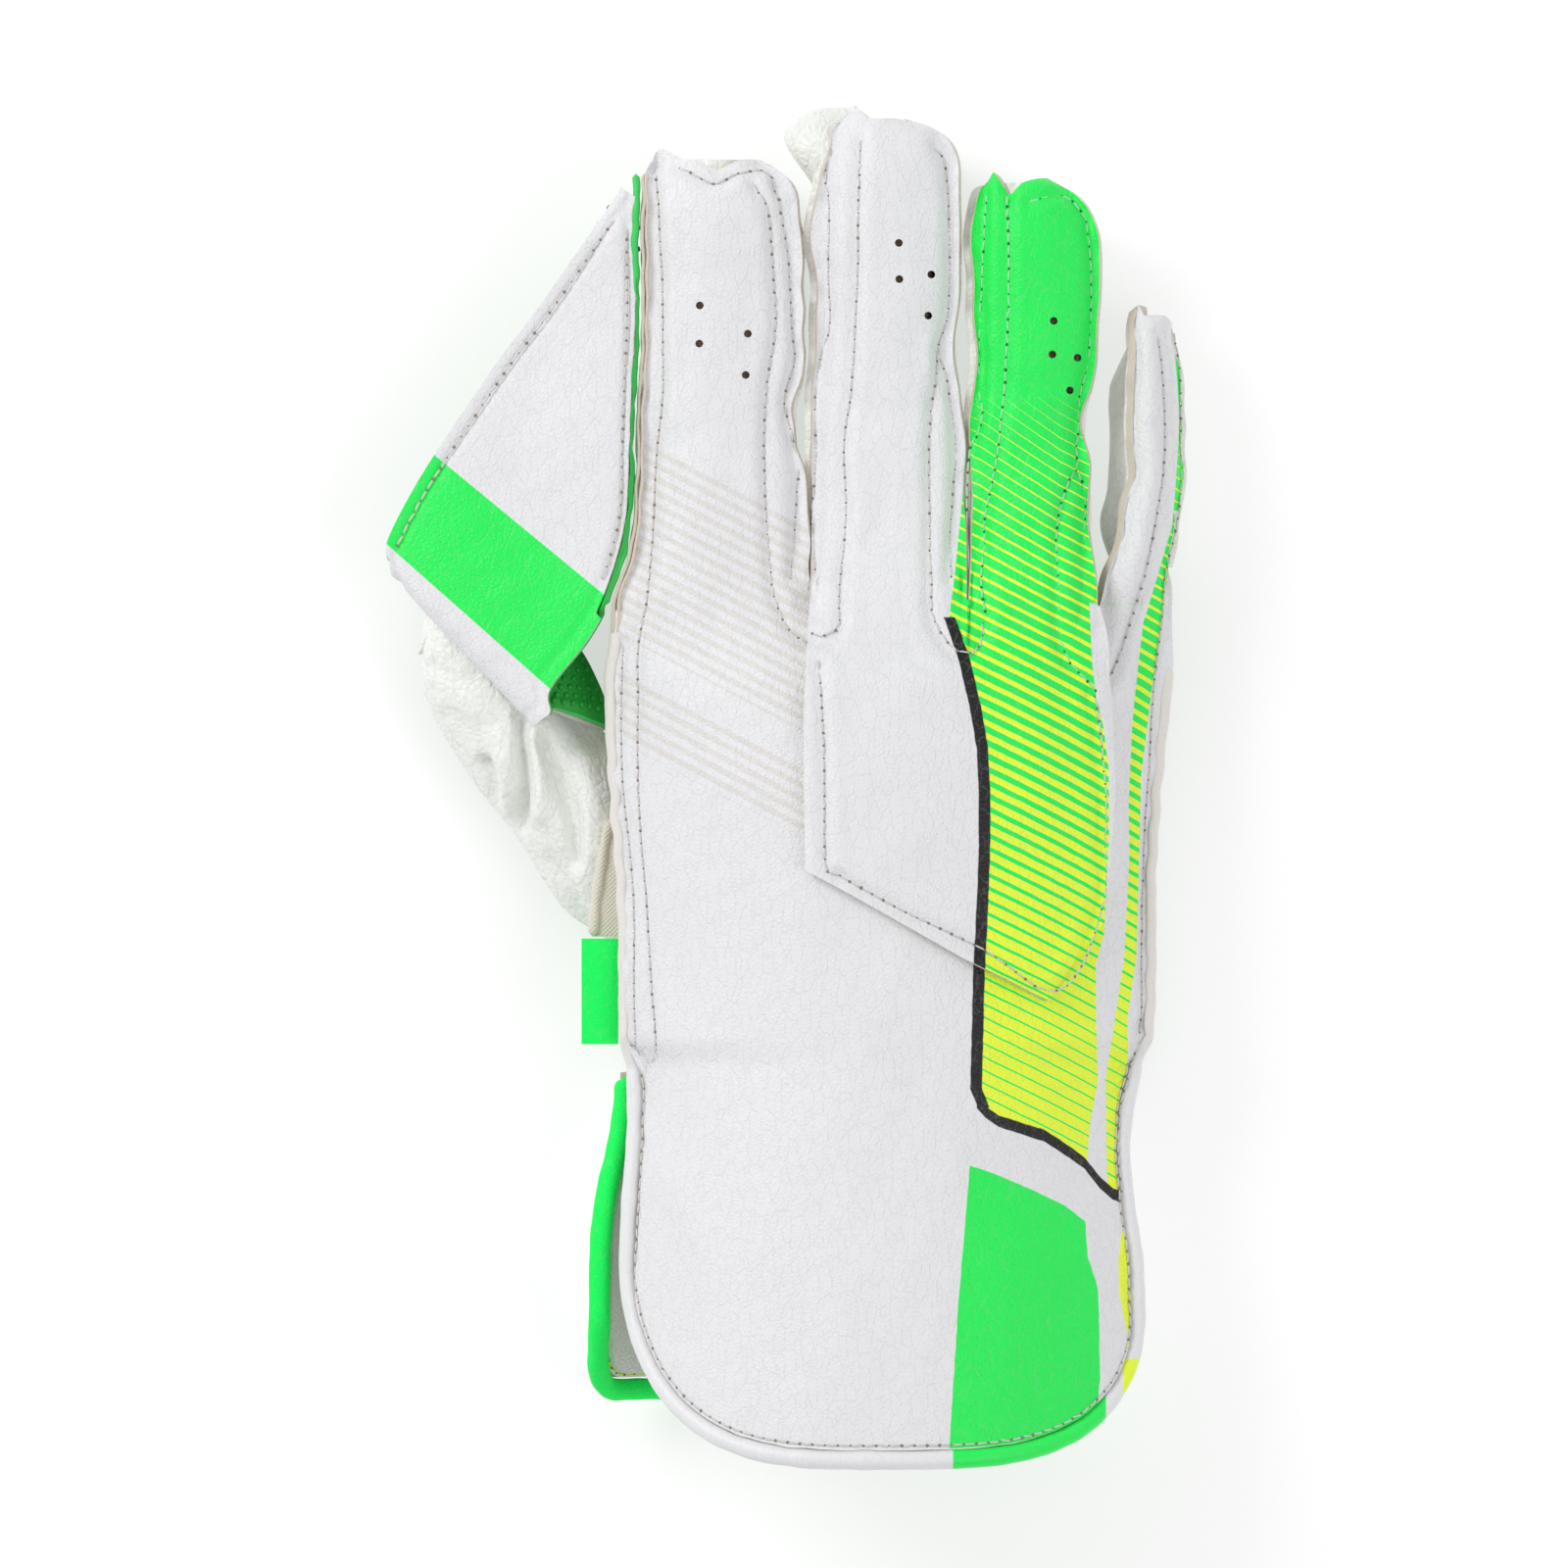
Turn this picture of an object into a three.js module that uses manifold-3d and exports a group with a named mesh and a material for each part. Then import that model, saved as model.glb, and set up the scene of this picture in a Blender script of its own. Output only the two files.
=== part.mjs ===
// A right-hand wicketkeeping glove lying palm down, built from its leather and rubber pieces.
// Millimetres, +Z up. X runs from the thumb side to the little finger, Y from the cuff to the fingertips.
import * as THREE from "three";
import { mergeVertices } from "three/addons/utils/BufferGeometryUtils.js";
import Module from "manifold-3d";

// Driving dimensions
const handLength = 218;
const crotchY = 45;
const handLeftX = -44.1;
const backThickness = 2.4;
const overlayThickness = 2;
const overlayStand = 1.1;
const gussetThickness = 1.8;
const palmThickness = 3;
const clearance = 0.4;
const facetAllowance = 0.3;
const flangeWidth = 4;
const littleFlangeWidth = 2.6;
const palmArch = 6;
const palmArchY = 35;
const palmArchSpread = 45;
const palmEdgeRise = 7;
const fingerEdgeRise = 1.5;
const handPalmInset = 3.5;
const knuckleBlend = 22;
const sideBow = 1.8;
const sideSeamInset = 0.6;
const fingertipDrop = 5;
const fingertipRise = 2.5;
const seamEar = 3;

// The backs of the fingers, from the thumb side: widths over the seams and lengths from the crotch
const indexWidth = 50.2;
const indexLength = 114.5;
const middleWidth = 39.4;
const middleLength = 125;
const ringWidth = 31.2;
const ringLength = 108.5;
const littleWidth = 16;
const littleLength = 75;
const fingerSpacing = 0.6;
const littleSpacing = 5.6;
const fingerDepth = 31;
const littleDepth = 28;
const littleTilt = 7;
const fingerCrown = 5;
const sideBulge = 1.5;
const littleLean = 7;
const bulgeRun = 20;

// Cuff, bindings and tag
const cuffCornerLeft = 47;
const cuffCornerRight = 32;
const backBindingTop = -76;
const backRollWidth = 3;
const backRollHeight = 2.6;
const backBindingRun = 8;
const palmCuffStartY = -74;
const palmCuffEndY = -152.5;
const palmCuffOverhang = 4.4;
const palmCuffEdgeHeight = 22;
const palmCuffEdgeRise = 8;
const palmCuffCorner = 17;
const palmRollRadius = 2.8;
const palmCuffRounding = 0.55;
const palmCuffCornerShare = 0.16;
const palmCuffSpread = 45;
const palmCuffThickness = 2.6;
const liningThickness = 1.6;
const tagLength = 27;
const tagReach = 9.4;
const tagThickness = 1.8;
const tagSag = 1.2;
const tagY = -53;
const ventDiameter = 2.2;

// Thumb and web
const thumbRootY = -13;
const thumbReach = 51;
const thumbBreadth = 58;
const thumbSeamHeight = 15;
const thumbCrown = 11;
const thumbThickness = 2.2;
const webReach = 64.5;
const webHeight = 108;
const webHeightZ = 39;
const webCurlRadius = 6;
const webLeather = 1.6;
const webRubber = 1.8;
const webBow = 12;
const webSeamStand = 0.4;
const webAnchorX = handLeftX + 5.5;

// Outlines of the backs of the fingers: left and right edges as shares of each finger's width
const indexOutline = [
  { at: 0, left: 0, right: 1 },
  { at: 0.13, left: 0.09, right: 1 },
  { at: 0.28, left: 0.12, right: 0.99 },
  { at: 0.43, left: 0.125, right: 0.92 },
  { at: 0.53, left: 0.14, right: 0.97 },
  { at: 0.7, left: 0.15, right: 0.976 },
  { at: 0.84, left: 0.145, right: 0.96 },
  { at: 0.92, left: 0.15, right: 0.94 },
  { at: 0.97, left: 0.155, right: 0.88 },
  { at: 1, left: 0.2, right: 0.76 },
];
const middleOutline = [
  { at: 0, left: 0, right: 1 },
  { at: 0.16, left: 0, right: 1 },
  { at: 0.33, left: -0.01, right: 1 },
  { at: 0.43, left: 0, right: 0.975 },
  { at: 0.51, left: 0.01, right: 0.92 },
  { at: 0.62, left: 0.033, right: 0.96 },
  { at: 0.76, left: -0.015, right: 0.965 },
  { at: 0.86, left: 0.033, right: 0.97 },
  { at: 0.94, left: 0.096, right: 0.925 },
  { at: 0.98, left: 0.14, right: 0.81 },
  { at: 1, left: 0.26, right: 0.63 },
];
const ringOutline = [
  { at: 0, left: 0, right: 1 },
  { at: 0.2, left: 0.02, right: 0.99 },
  { at: 0.33, left: 0.01, right: 1.005 },
  { at: 0.43, left: -0.005, right: 0.93 },
  { at: 0.52, left: 0.045, right: 1.015 },
  { at: 0.67, left: 0.045, right: 1.07 },
  { at: 0.84, left: 0.01, right: 1.085 },
  { at: 0.93, left: 0.03, right: 1.015 },
  { at: 0.98, left: 0.08, right: 0.87 },
  { at: 1, left: 0.17, right: 0.68 },
];
const littleOutline = [
  { at: 0, left: 0, right: 1 },
  { at: 0.2, left: 0.17, right: 0.99 },
  { at: 0.32, left: 0.14, right: 1.12 },
  { at: 0.45, left: 0.3, right: 1.18 },
  { at: 0.6, left: 0.29, right: 1.18 },
  { at: 0.78, left: 0.31, right: 1.15 },
  { at: 0.9, left: 0.34, right: 1.02 },
  { at: 0.97, left: 0.33, right: 0.99 },
  { at: 1, left: 0.37, right: 0.87 },
];

// Side edges of the hand and cuff as shares of the knuckle width, from the crotches to the cuff's end,
// and the heights of the seams and of the crown between them as shares of the hand's depth
const handDepth = 58;
const archPower = 2.2;
const handSections = [
  { at: 0, left: 0, right: 1, leftSeam: 0.6, rightSeam: 0.36, crown: 0.34 },
  { at: 0.09, left: -0.0125, right: 0.995, leftSeam: 0.59, rightSeam: 0.38, crown: 0.42 },
  { at: 0.2, left: -0.0056, right: 0.977, leftSeam: 0.57, rightSeam: 0.42, crown: 0.48 },
  { at: 0.32, left: 0.008, right: 0.965, leftSeam: 0.56, rightSeam: 0.46, crown: 0.5 },
  { at: 0.4, left: 0.012, right: 0.965, leftSeam: 0.56, rightSeam: 0.49, crown: 0.5 },
  { at: 0.52, left: 0.012, right: 0.958, leftSeam: 0.59, rightSeam: 0.54, crown: 0.49 },
  { at: 0.62, left: 0.012, right: 0.934, leftSeam: 0.64, rightSeam: 0.58, crown: 0.49 },
  { at: 0.69, left: 0.0035, right: 0.94, leftSeam: 0.68, rightSeam: 0.61, crown: 0.49 },
  { at: 0.78, left: -0.0014, right: 0.958, leftSeam: 0.72, rightSeam: 0.65, crown: 0.5 },
  { at: 1, left: -0.0014, right: 0.958, leftSeam: 0.78, rightSeam: 0.7, crown: 0.52 },
];

// Lower edge of the overlay: how far it reaches below the crotches, as shares of its reach
const overlayReach = 100;
const overlayFlare = 7.5;
const overlayEdge = [
  { at: 0, reach: 0.67 },
  { at: 0.17, reach: 0.735 },
  { at: 0.83, reach: 1 },
  { at: 1, reach: 0.805 },
];

// Vent holes: finger, share of its length and place across it from -1 to 1
const vents = [
  { finger: 0, along: 0.673, across: -0.29 },
  { finger: 0, along: 0.588, across: -0.29 },
  { finger: 0, along: 0.61, across: 0.3 },
  { finger: 0, along: 0.518, across: 0.3 },
  { finger: 1, along: 0.744, across: 0.18 },
  { finger: 1, along: 0.67, across: 0.16 },
  { finger: 1, along: 0.68, across: 0.6 },
  { finger: 1, along: 0.596, across: 0.57 },
  { finger: 2, along: 0.674, across: 0.27 },
  { finger: 2, along: 0.595, across: 0.27 },
  { finger: 2, along: 0.588, across: 0.69 },
  { finger: 2, along: 0.511, across: 0.63 },
];

// Thumb: its lower and upper edges as shares of its reach outwards and its breadth, and its fullness
const thumbSections = [
  { lowOut: 0, low: -0.5, highOut: 0, high: 0.37, full: 0.95 },
  { lowOut: 0.12, low: -0.43, highOut: 0.06, high: 0.43, full: 1 },
  { lowOut: 0.3, low: -0.31, highOut: 0.15, high: 0.55, full: 0.98 },
  { lowOut: 0.51, low: -0.02, highOut: 0.31, high: 0.74, full: 0.98 },
  { lowOut: 0.7, low: 0.19, highOut: 0.48, high: 0.89, full: 1 },
  { lowOut: 0.88, low: 0.43, highOut: 0.64, high: 1.01, full: 0.96 },
  { lowOut: 0.97, low: 0.59, highOut: 0.78, high: 1.07, full: 0.85 },
  { lowOut: 1, low: 0.7, highOut: 0.88, high: 1.05, full: 0.66 },
  { lowOut: 0.99, low: 0.8, highOut: 0.945, high: 0.97, full: 0.4 },
];

// Web: its hem and its seam beside the index finger as shares of its reach, height and lift
const webRows = [
  { hemOut: 0.05, hemUp: 0.994, hemLift: 0.8, seamOut: 0, seamUp: 0.965, seamLift: 0.79 },
  { hemOut: 0.16, hemUp: 0.9, hemLift: 0.79, seamOut: 0, seamUp: 0.83, seamLift: 0.82 },
  { hemOut: 0.28, hemUp: 0.796, hemLift: 0.78, seamOut: 0, seamUp: 0.67, seamLift: 0.85 },
  { hemOut: 0.4, hemUp: 0.695, hemLift: 0.77, seamOut: 0, seamUp: 0.52, seamLift: 0.88 },
  { hemOut: 0.53, hemUp: 0.593, hemLift: 0.77, seamOut: 0, seamUp: 0.36, seamLift: 0.91 },
  { hemOut: 0.66, hemUp: 0.48, hemLift: 0.78, seamOut: 0, seamUp: 0.19, seamLift: 0.94 },
  { hemOut: 0.79, hemUp: 0.364, hemLift: 0.8, seamOut: 0, seamUp: 0.03, seamLift: 0.97 },
  { hemOut: 0.895, hemUp: 0.26, hemLift: 0.81, seamOut: 0.18, seamUp: -0.074, seamLift: 0.99 },
  { hemOut: 0.98, hemUp: 0.155, hemLift: 0.82, seamOut: 0.33, seamUp: -0.19, seamLift: 1 },
];

// Shared helpers
const mix = (a, b, share) => a + (b - a) * share;
const clamp01 = (value) => Math.min(1, Math.max(0, value));
const smooth = (value) => {
  const t = clamp01(value);
  return t * t * (3 - 2 * t);
};

// A column of a table at a place between its rows, eased so that no row shows as a corner
function along(table, at, column) {
  let row = 1;
  while (row < table.length - 1 && at > table[row].at) row += 1;
  const before = table[row - 1];
  const after = table[row];
  const share = clamp01((at - before.at) / (after.at - before.at));
  const slopeBefore = slopeAt(table, row - 1, column);
  const slopeAfter = slopeAt(table, row, column);
  const span = after.at - before.at;
  const s2 = share * share;
  const s3 = s2 * share;
  return (
    (2 * s3 - 3 * s2 + 1) * before[column] +
    (s3 - 2 * s2 + share) * span * slopeBefore +
    (3 * s2 - 2 * s3) * after[column] +
    (s3 - s2) * span * slopeAfter
  );
}

function slopeAt(table, row, column) {
  if (row === 0 || row === table.length - 1) return 0;
  const before = table[row - 1];
  const after = table[row + 1];
  return (after[column] - before[column]) / (after.at - before.at);
}

// One closed solid from a grid of outer and inner points; has says which of its cells are there
function sheetGeometry(rows, columns, pointAt, has = () => true) {
  const grid = rows.map((row) => columns.map((column) => pointAt(row, column)));
  const isCell = (i, j) =>
    i >= 0 && j >= 0 && i < rows.length - 1 && j < columns.length - 1 && has(i, j);
  const positions = [];
  const quad = (a, b, c, d) => {
    for (const point of [a, b, c, a, c, d]) positions.push(point.x, point.y, point.z);
  };
  const wall = (p, q) => quad(q.outer, p.outer, p.inner, q.inner);
  for (let i = 0; i < rows.length - 1; i += 1) {
    for (let j = 0; j < columns.length - 1; j += 1) {
      if (!isCell(i, j)) continue;
      const [a, b, c, d] = [grid[i][j], grid[i][j + 1], grid[i + 1][j + 1], grid[i + 1][j]];
      quad(a.outer, b.outer, c.outer, d.outer);
      quad(a.inner, d.inner, c.inner, b.inner);
      if (!isCell(i - 1, j)) wall(a, b);
      if (!isCell(i, j + 1)) wall(b, c);
      if (!isCell(i + 1, j)) wall(c, d);
      if (!isCell(i, j - 1)) wall(d, a);
    }
  }
  return outwards(positions);
}

// A solid roll swept through centres with their sideways and upward directions
function rollGeometry(stations, width, height, sides = 6) {
  const rings = stations.map(({ centre, side, up }) =>
    Array.from({ length: sides }, (_, k) => {
      const angle = (2 * Math.PI * (k + 0.5)) / sides;
      return centre
        .clone()
        .addScaledVector(side, width * Math.cos(angle))
        .addScaledVector(up, height * Math.sin(angle));
    }),
  );
  const positions = [];
  const triangle = (a, b, c) => {
    for (const point of [a, b, c]) positions.push(point.x, point.y, point.z);
  };
  for (let i = 0; i < rings.length - 1; i += 1) {
    for (let k = 0; k < sides; k += 1) {
      const next = (k + 1) % sides;
      triangle(rings[i][k], rings[i][next], rings[i + 1][next]);
      triangle(rings[i][k], rings[i + 1][next], rings[i + 1][k]);
    }
  }
  const last = rings.length - 1;
  for (let k = 1; k < sides - 1; k += 1) {
    triangle(rings[0][0], rings[0][k + 1], rings[0][k]);
    triangle(rings[last][0], rings[last][k], rings[last][k + 1]);
  }
  return outwards(positions);
}

// Turns every face round if together they enclose a negative volume
function outwards(positions) {
  let volume = 0;
  for (let i = 0; i < positions.length; i += 9) {
    const [ax, ay, az, bx, by, bz, cx, cy, cz] = positions.slice(i, i + 9);
    volume += ax * (by * cz - bz * cy) + ay * (bz * cx - bx * cz) + az * (bx * cy - by * cx);
  }
  if (volume < 0) {
    for (let i = 0; i < positions.length; i += 9) {
      const second = positions.slice(i + 3, i + 6);
      positions.splice(i + 3, 3, ...positions.slice(i + 6, i + 9));
      positions.splice(i + 6, 3, ...second);
    }
  }
  const geometry = new THREE.BufferGeometry();
  geometry.setAttribute("position", new THREE.Float32BufferAttribute(positions, 3));
  geometry.computeVertexNormals();
  return geometry;
}

// The unit normal of a surface of two values, found from small steps
function normalOf(surface, u, v, uStep, vStep) {
  const alongU = surface(u + uStep, v).sub(surface(u - uStep, v));
  const alongV = surface(u, v + vStep).sub(surface(u, v - vStep));
  const normal = alongU.cross(alongV).normalize();
  return normal.z < 0 ? normal.negate() : normal;
}

// Fingers in order from the thumb side, each with its place at the knuckles
const fingers = [
  { width: indexWidth, length: indexLength, outline: indexOutline, depth: fingerDepth },
  { width: middleWidth, length: middleLength, outline: middleOutline, depth: fingerDepth },
  { width: ringWidth, length: ringLength, outline: ringOutline, depth: fingerDepth },
  { width: littleWidth, length: littleLength, outline: littleOutline, depth: littleDepth },
];
const [INDEX, MIDDLE, RING, LITTLE] = [0, 1, 2, 3];
const spacings = [0, fingerSpacing, fingerSpacing, littleSpacing];
let knuckleX = handLeftX;
for (const [number, finger] of fingers.entries()) {
  knuckleX += spacings[number];
  finger.baseX = knuckleX;
  knuckleX += finger.width;
}
const knuckleWidth = knuckleX - handLeftX;

const fingerEdge = (finger, side, share) =>
  finger.baseX + finger.width * along(finger.outline, share, side);
const palmLift = (y) => palmArch * Math.exp(-(((y - palmArchY) / palmArchSpread) ** 2));
const handShare = (y) => clamp01((crotchY - y) / handLength);
const handEdge = (side, y) => handLeftX + knuckleWidth * along(handSections, handShare(y), side);
const handHeight = (column, y) => handDepth * along(handSections, handShare(y), column);

// How far the back panel stops short of the glove's outline to leave room for the rolled binding
const rollRoom = (y) => (2 * backRollWidth + clearance) * smooth((backBindingTop - y) / backBindingRun + 1.5);

// The curved end of the back cuff, for a share across the hand from 0 to 1
function cuffEndY(share) {
  const across = 2 * share - 1;
  const corner = across < 0 ? cuffCornerLeft : cuffCornerRight;
  const power = across < 0 ? 3.6 : 4;
  const rise = corner * (1 - Math.sqrt(1 - Math.min(1, Math.abs(across)) ** power));
  return crotchY - handLength + rollRoom(crotchY - handLength) + rise;
}

// Height of the outside of the back over a finger's column, between the hand's arch and the finger's own
function backHeight(finger, across, share, y) {
  const handAcross = 2 * share - 1;
  const seams = mix(handHeight("leftSeam", y), handHeight("rightSeam", y), share);
  const arch = seams + handHeight("crown", y) * (1 - Math.abs(handAcross) ** archPower);
  const crown = fingerCrown * Math.max(0, 1 - (Math.abs(across) / 0.88) ** 2.4);
  const tilt = finger === fingers[LITTLE] ? (littleTilt * (across + 1)) / 2 : 0;
  const tip = clamp01(((y - crotchY) / finger.length - 0.86) / 0.14);
  const fingerTop = palmLift(y) + finger.depth + crown - tilt - fingertipDrop * tip ** 2;
  return mix(arch, fingerTop, smooth((y - crotchY + knuckleBlend) / 40));
}

// A point of the back: run goes from the cuff's end (0) to the crotch (1) to the fingertip (2)
function backPoint(finger, across, run) {
  const middleward = (across + 1) / 2;
  const share = (finger.baseX + middleward * finger.width - handLeftX) / knuckleWidth;
  if (run <= 1) {
    const y = mix(cuffEndY(clamp01(share)), crotchY, run);
    const left = handEdge("left", y) + rollRoom(y);
    const right = handEdge("right", y) - rollRoom(y);
    return new THREE.Vector3(mix(left, right, share), y, backHeight(finger, across, share, y));
  }
  const fingerShare = run - 1;
  const y = crotchY + fingerShare * finger.length;
  const left = fingerEdge(finger, "left", fingerShare);
  const right = fingerEdge(finger, "right", fingerShare);
  return new THREE.Vector3(mix(left, right, middleward), y, backHeight(finger, across, share, y));
}

const backNormal = (finger, across, run) =>
  normalOf((a, b) => backPoint(finger, a, b), clampInside(across), Math.max(0.02, run), 0.02, 0.01);
const clampInside = (across) => Math.max(-0.98, Math.min(0.98, across));

// Where the seam allowance on a fingertip runs up into a small pointed ear
function withEar(point, across, run) {
  const ear = seamEar * smooth((run - 1.96) / 0.04) * Math.max(0, 1 - Math.abs(across + 0.8) / 0.4);
  return point.setY(point.y + ear);
}

// Columns and rows of the pieces that follow the fingers
const acrossSteps = [-1, -0.87, -0.45, 0, 0.45, 0.87, 1];
const columnsOf = (numbers) =>
  numbers.flatMap((number) => acrossSteps.map((across) => ({ finger: number, across })));
const allColumns = columnsOf([INDEX, MIDDLE, RING, LITTLE]);
const overlayColumns = columnsOf([MIDDLE, RING]);
const fingerRuns = [1.08, 1.18, 1.29, 1.4, 1.5, 1.6, 1.7, 1.8, 1.88, 1.94, 1.98, 2];
const handRuns = [0, 0.03, 0.09, 0.18, 0.28, 0.33, 0.38, 0.5, 0.62, 0.74, 0.85, 0.94, 1];
const backRuns = [...handRuns, ...fingerRuns];

// True where a cell of columns lies inside one of the fingers named
const insideFinger = (columns, j, numbers) =>
  columns[j].finger === columns[j + 1].finger && numbers.includes(columns[j].finger);

// Cuts the vent holes of the fingers named through a panel
const wasm = await Module();
wasm.setup();

function solidOf(geometry) {
  const bare = new THREE.BufferGeometry();
  bare.setAttribute("position", geometry.getAttribute("position"));
  const merged = mergeVertices(geometry.index ? bare.setIndex(geometry.index) : bare, 1e-3);
  const mesh = new wasm.Mesh({
    numProp: 3,
    vertProperties: merged.getAttribute("position").array,
    triVerts: new Uint32Array(merged.index.array),
  });
  return new wasm.Manifold(mesh);
}

function withVents(geometry, numbers) {
  let panel = solidOf(geometry);
  for (const vent of vents.filter(({ finger }) => numbers.includes(finger))) {
    const place = backPoint(fingers[vent.finger], vent.across, 1 + vent.along);
    const drill = new THREE.CylinderGeometry(ventDiameter / 2, ventDiameter / 2, 20, 7);
    drill.rotateX(Math.PI / 2);
    drill.translate(place.x, place.y, place.z);
    panel = panel.subtract(solidOf(drill));
  }
  const { vertProperties, triVerts } = panel.getMesh();
  const geometryOut = new THREE.BufferGeometry();
  geometryOut.setAttribute("position", new THREE.BufferAttribute(vertProperties, 3));
  geometryOut.setIndex(new THREE.BufferAttribute(triVerts, 1));
  geometryOut.computeVertexNormals();
  return geometryOut;
}

// Hand back: one leather panel for the index finger, little finger, hand and cuff
function handBack() {
  const pointAt = (run, { finger, across }) => {
    const outer = backPoint(fingers[finger], across, run);
    const normal = backNormal(fingers[finger], across, run);
    const inner = outer.clone().addScaledVector(normal, -backThickness);
    return { outer: withEar(outer, across, run), inner: withEar(inner, across, run) };
  };
  const has = (i, j) => i < handRuns.length - 1 || insideFinger(allColumns, j, [INDEX, LITTLE]);
  return withVents(sheetGeometry(backRuns, allColumns, pointAt, has), [INDEX]);
}

// Finger overlay: the panel sewn over the back that carries the middle and ring fingers
function overlayRun(finger, across, row) {
  if (row > 1) return row;
  const middleward = (across + 1) / 2;
  const left = fingers[MIDDLE].baseX;
  const reachX = fingers[RING].baseX + fingers[RING].width - left;
  const place = (fingers[finger].baseX + middleward * fingers[finger].width - left) / reachX;
  const share = (fingers[finger].baseX + middleward * fingers[finger].width - handLeftX) / knuckleWidth;
  const edgeY = crotchY - overlayReach * linear(overlayEdge, place, "reach");
  const endY = cuffEndY(share);
  return mix((edgeY - endY) / (crotchY - endY), 1, row);
}

function linear(table, at, column) {
  const row = Math.max(1, table.findIndex((entry) => entry.at >= at));
  const before = table[row - 1];
  const after = table[row];
  return mix(before[column], after[column], clamp01((at - before.at) / (after.at - before.at)));
}

function fingerOverlay() {
  const rows = [0, 0.2, 0.4, 0.6, 0.8, 0.92, 1, ...fingerRuns];
  const flareOf = (finger, across, row) => {
    if (row >= 1 || finger !== RING) return 0;
    return overlayFlare * Math.sin(Math.PI * Math.min(1, 0.25 + 0.75 * row)) * ((across + 1) / 2);
  };
  const pointAt = (row, { finger, across }) => {
    const run = overlayRun(finger, across, row);
    const normal = backNormal(fingers[finger], across, run);
    const point = backPoint(fingers[finger], across, run);
    const flare = flareOf(finger, across, row);
    point.x += flare;
    point.z -= (flare * normal.x) / normal.z;
    const raise = (overlayThickness + overlayStand) * (1 - smooth((run - 1.02) / 0.14));
    const outer = point.clone().addScaledVector(normal, raise);
    const inner = outer.clone().addScaledVector(normal, -overlayThickness);
    return { outer: withEar(outer, across, run), inner: withEar(inner, across, run) };
  };
  const lastHandRow = rows.indexOf(1);
  const has = (i, j) => i < lastHandRow || insideFinger(overlayColumns, j, [MIDDLE, RING]);
  return withVents(sheetGeometry(rows, overlayColumns, pointAt, has), [MIDDLE, RING]);
}

// How far a fingertip's palm side curves up
const palmTipRise = (fingerShare) => fingertipRise * clamp01((fingerShare - 0.86) / 0.14) ** 2;

// Palm rubber: the pimpled facing of the palm and of the four fingers
function palmPoint(finger, across, run) {
  const middleward = (across + 1) / 2;
  const base = finger.baseX + handPalmInset + middleward * (finger.width - 2 * handPalmInset);
  const share = (base - handLeftX - handPalmInset) / (knuckleWidth - 2 * handPalmInset);
  const handAcross = Math.min(1, Math.abs(2 * share - 1));
  if (run <= 1) {
    const y = mix(palmCuffStartY + clearance, crotchY, run);
    const left = handEdge("left", y) + handPalmInset;
    const right = handEdge("right", y) - handPalmInset;
    const blend = smooth((y - crotchY) / knuckleBlend + 1);
    const rise = mix(palmEdgeRise * handAcross ** 8, fingerEdgeRise * across ** 6, blend);
    return new THREE.Vector3(mix(left, right, share), y, palmLift(y) + rise);
  }
  const fingerShare = run - 1;
  const inset = handPalmInset * Math.min(1, 0.4 + fingerShare * 4);
  const y = crotchY + fingerShare * (finger.length - handPalmInset);
  const left = fingerEdge(finger, "left", fingerShare) + mix(handPalmInset, inset, fingerShare);
  const right = fingerEdge(finger, "right", fingerShare) - mix(handPalmInset, inset, fingerShare);
  const rise = fingerEdgeRise * across ** 6 + palmTipRise(fingerShare);
  return new THREE.Vector3(mix(left, right, middleward), y, palmLift(y) + rise);
}

function palmRubber() {
  const runs = [0, 0.16, 0.32, 0.48, 0.64, 0.8, 0.91, 1, ...fingerRuns];
  const pointAt = (run, { finger, across }) => {
    const outer = palmPoint(fingers[finger], across, run);
    return { outer, inner: outer.clone().setZ(outer.z + palmThickness) };
  };
  const lastHandRow = runs.indexOf(1);
  const has = (i, j) => i < lastHandRow || insideFinger(allColumns, j, [INDEX, MIDDLE, RING, LITTLE]);
  return sheetGeometry(runs, allColumns, pointAt, has);
}

// Finger gussets: strips that run down the side of one finger, round the crotch and up the next
const tipCentreGap = clearance;
const gussetShares = [1, 0.98, 0.94, 0.86, 0.76, 0.64, 0.52, 0.4, 0.27, 0.14, 0.03];

// One side's path from the fingertip's middle to the crotch, with the direction out of the finger
function sidePath(finger, side) {
  const outward = side === "left" ? -1 : 1;
  const tip = new THREE.Vector3(
    mix(fingerEdge(finger, "left", 1), fingerEdge(finger, "right", 1), 0.5) + outward * tipCentreGap,
    crotchY + finger.length,
    0,
  );
  const edges = gussetShares.map(
    (share) => new THREE.Vector3(fingerEdge(finger, side, share), crotchY + share * finger.length, 0),
  );
  const points = [tip, ...edges];
  return points.map((point, i) => {
    const before = points[Math.max(0, i - 1)];
    const after = points[Math.min(points.length - 1, i + 1)];
    const tangent = after.clone().sub(before).normalize();
    const out = new THREE.Vector3(-tangent.y * outward, tangent.x * outward, 0);
    if (out.x * outward < 0 && Math.abs(out.y) < 0.7) out.negate();
    if (i === 0) out.set(0, 1, 0);
    return { point, out, finger };
  });
}

// Height of the underside of the back above a place beside a finger
function underBack(finger, x, y) {
  const fingerShare = clamp01((y - crotchY) / finger.length);
  const left = fingerEdge(finger, "left", fingerShare);
  const right = fingerEdge(finger, "right", fingerShare);
  const across = Math.max(-1, Math.min(1, (2 * (x - left)) / (right - left) - 1));
  const share = (finger.baseX + ((across + 1) / 2) * finger.width - handLeftX) / knuckleWidth;
  const normal = backNormal(finger, across, Math.min(1.97, 1 + fingerShare));
  return backHeight(finger, across, share, y) - backThickness / normal.z - clearance - facetAllowance;
}

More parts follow.
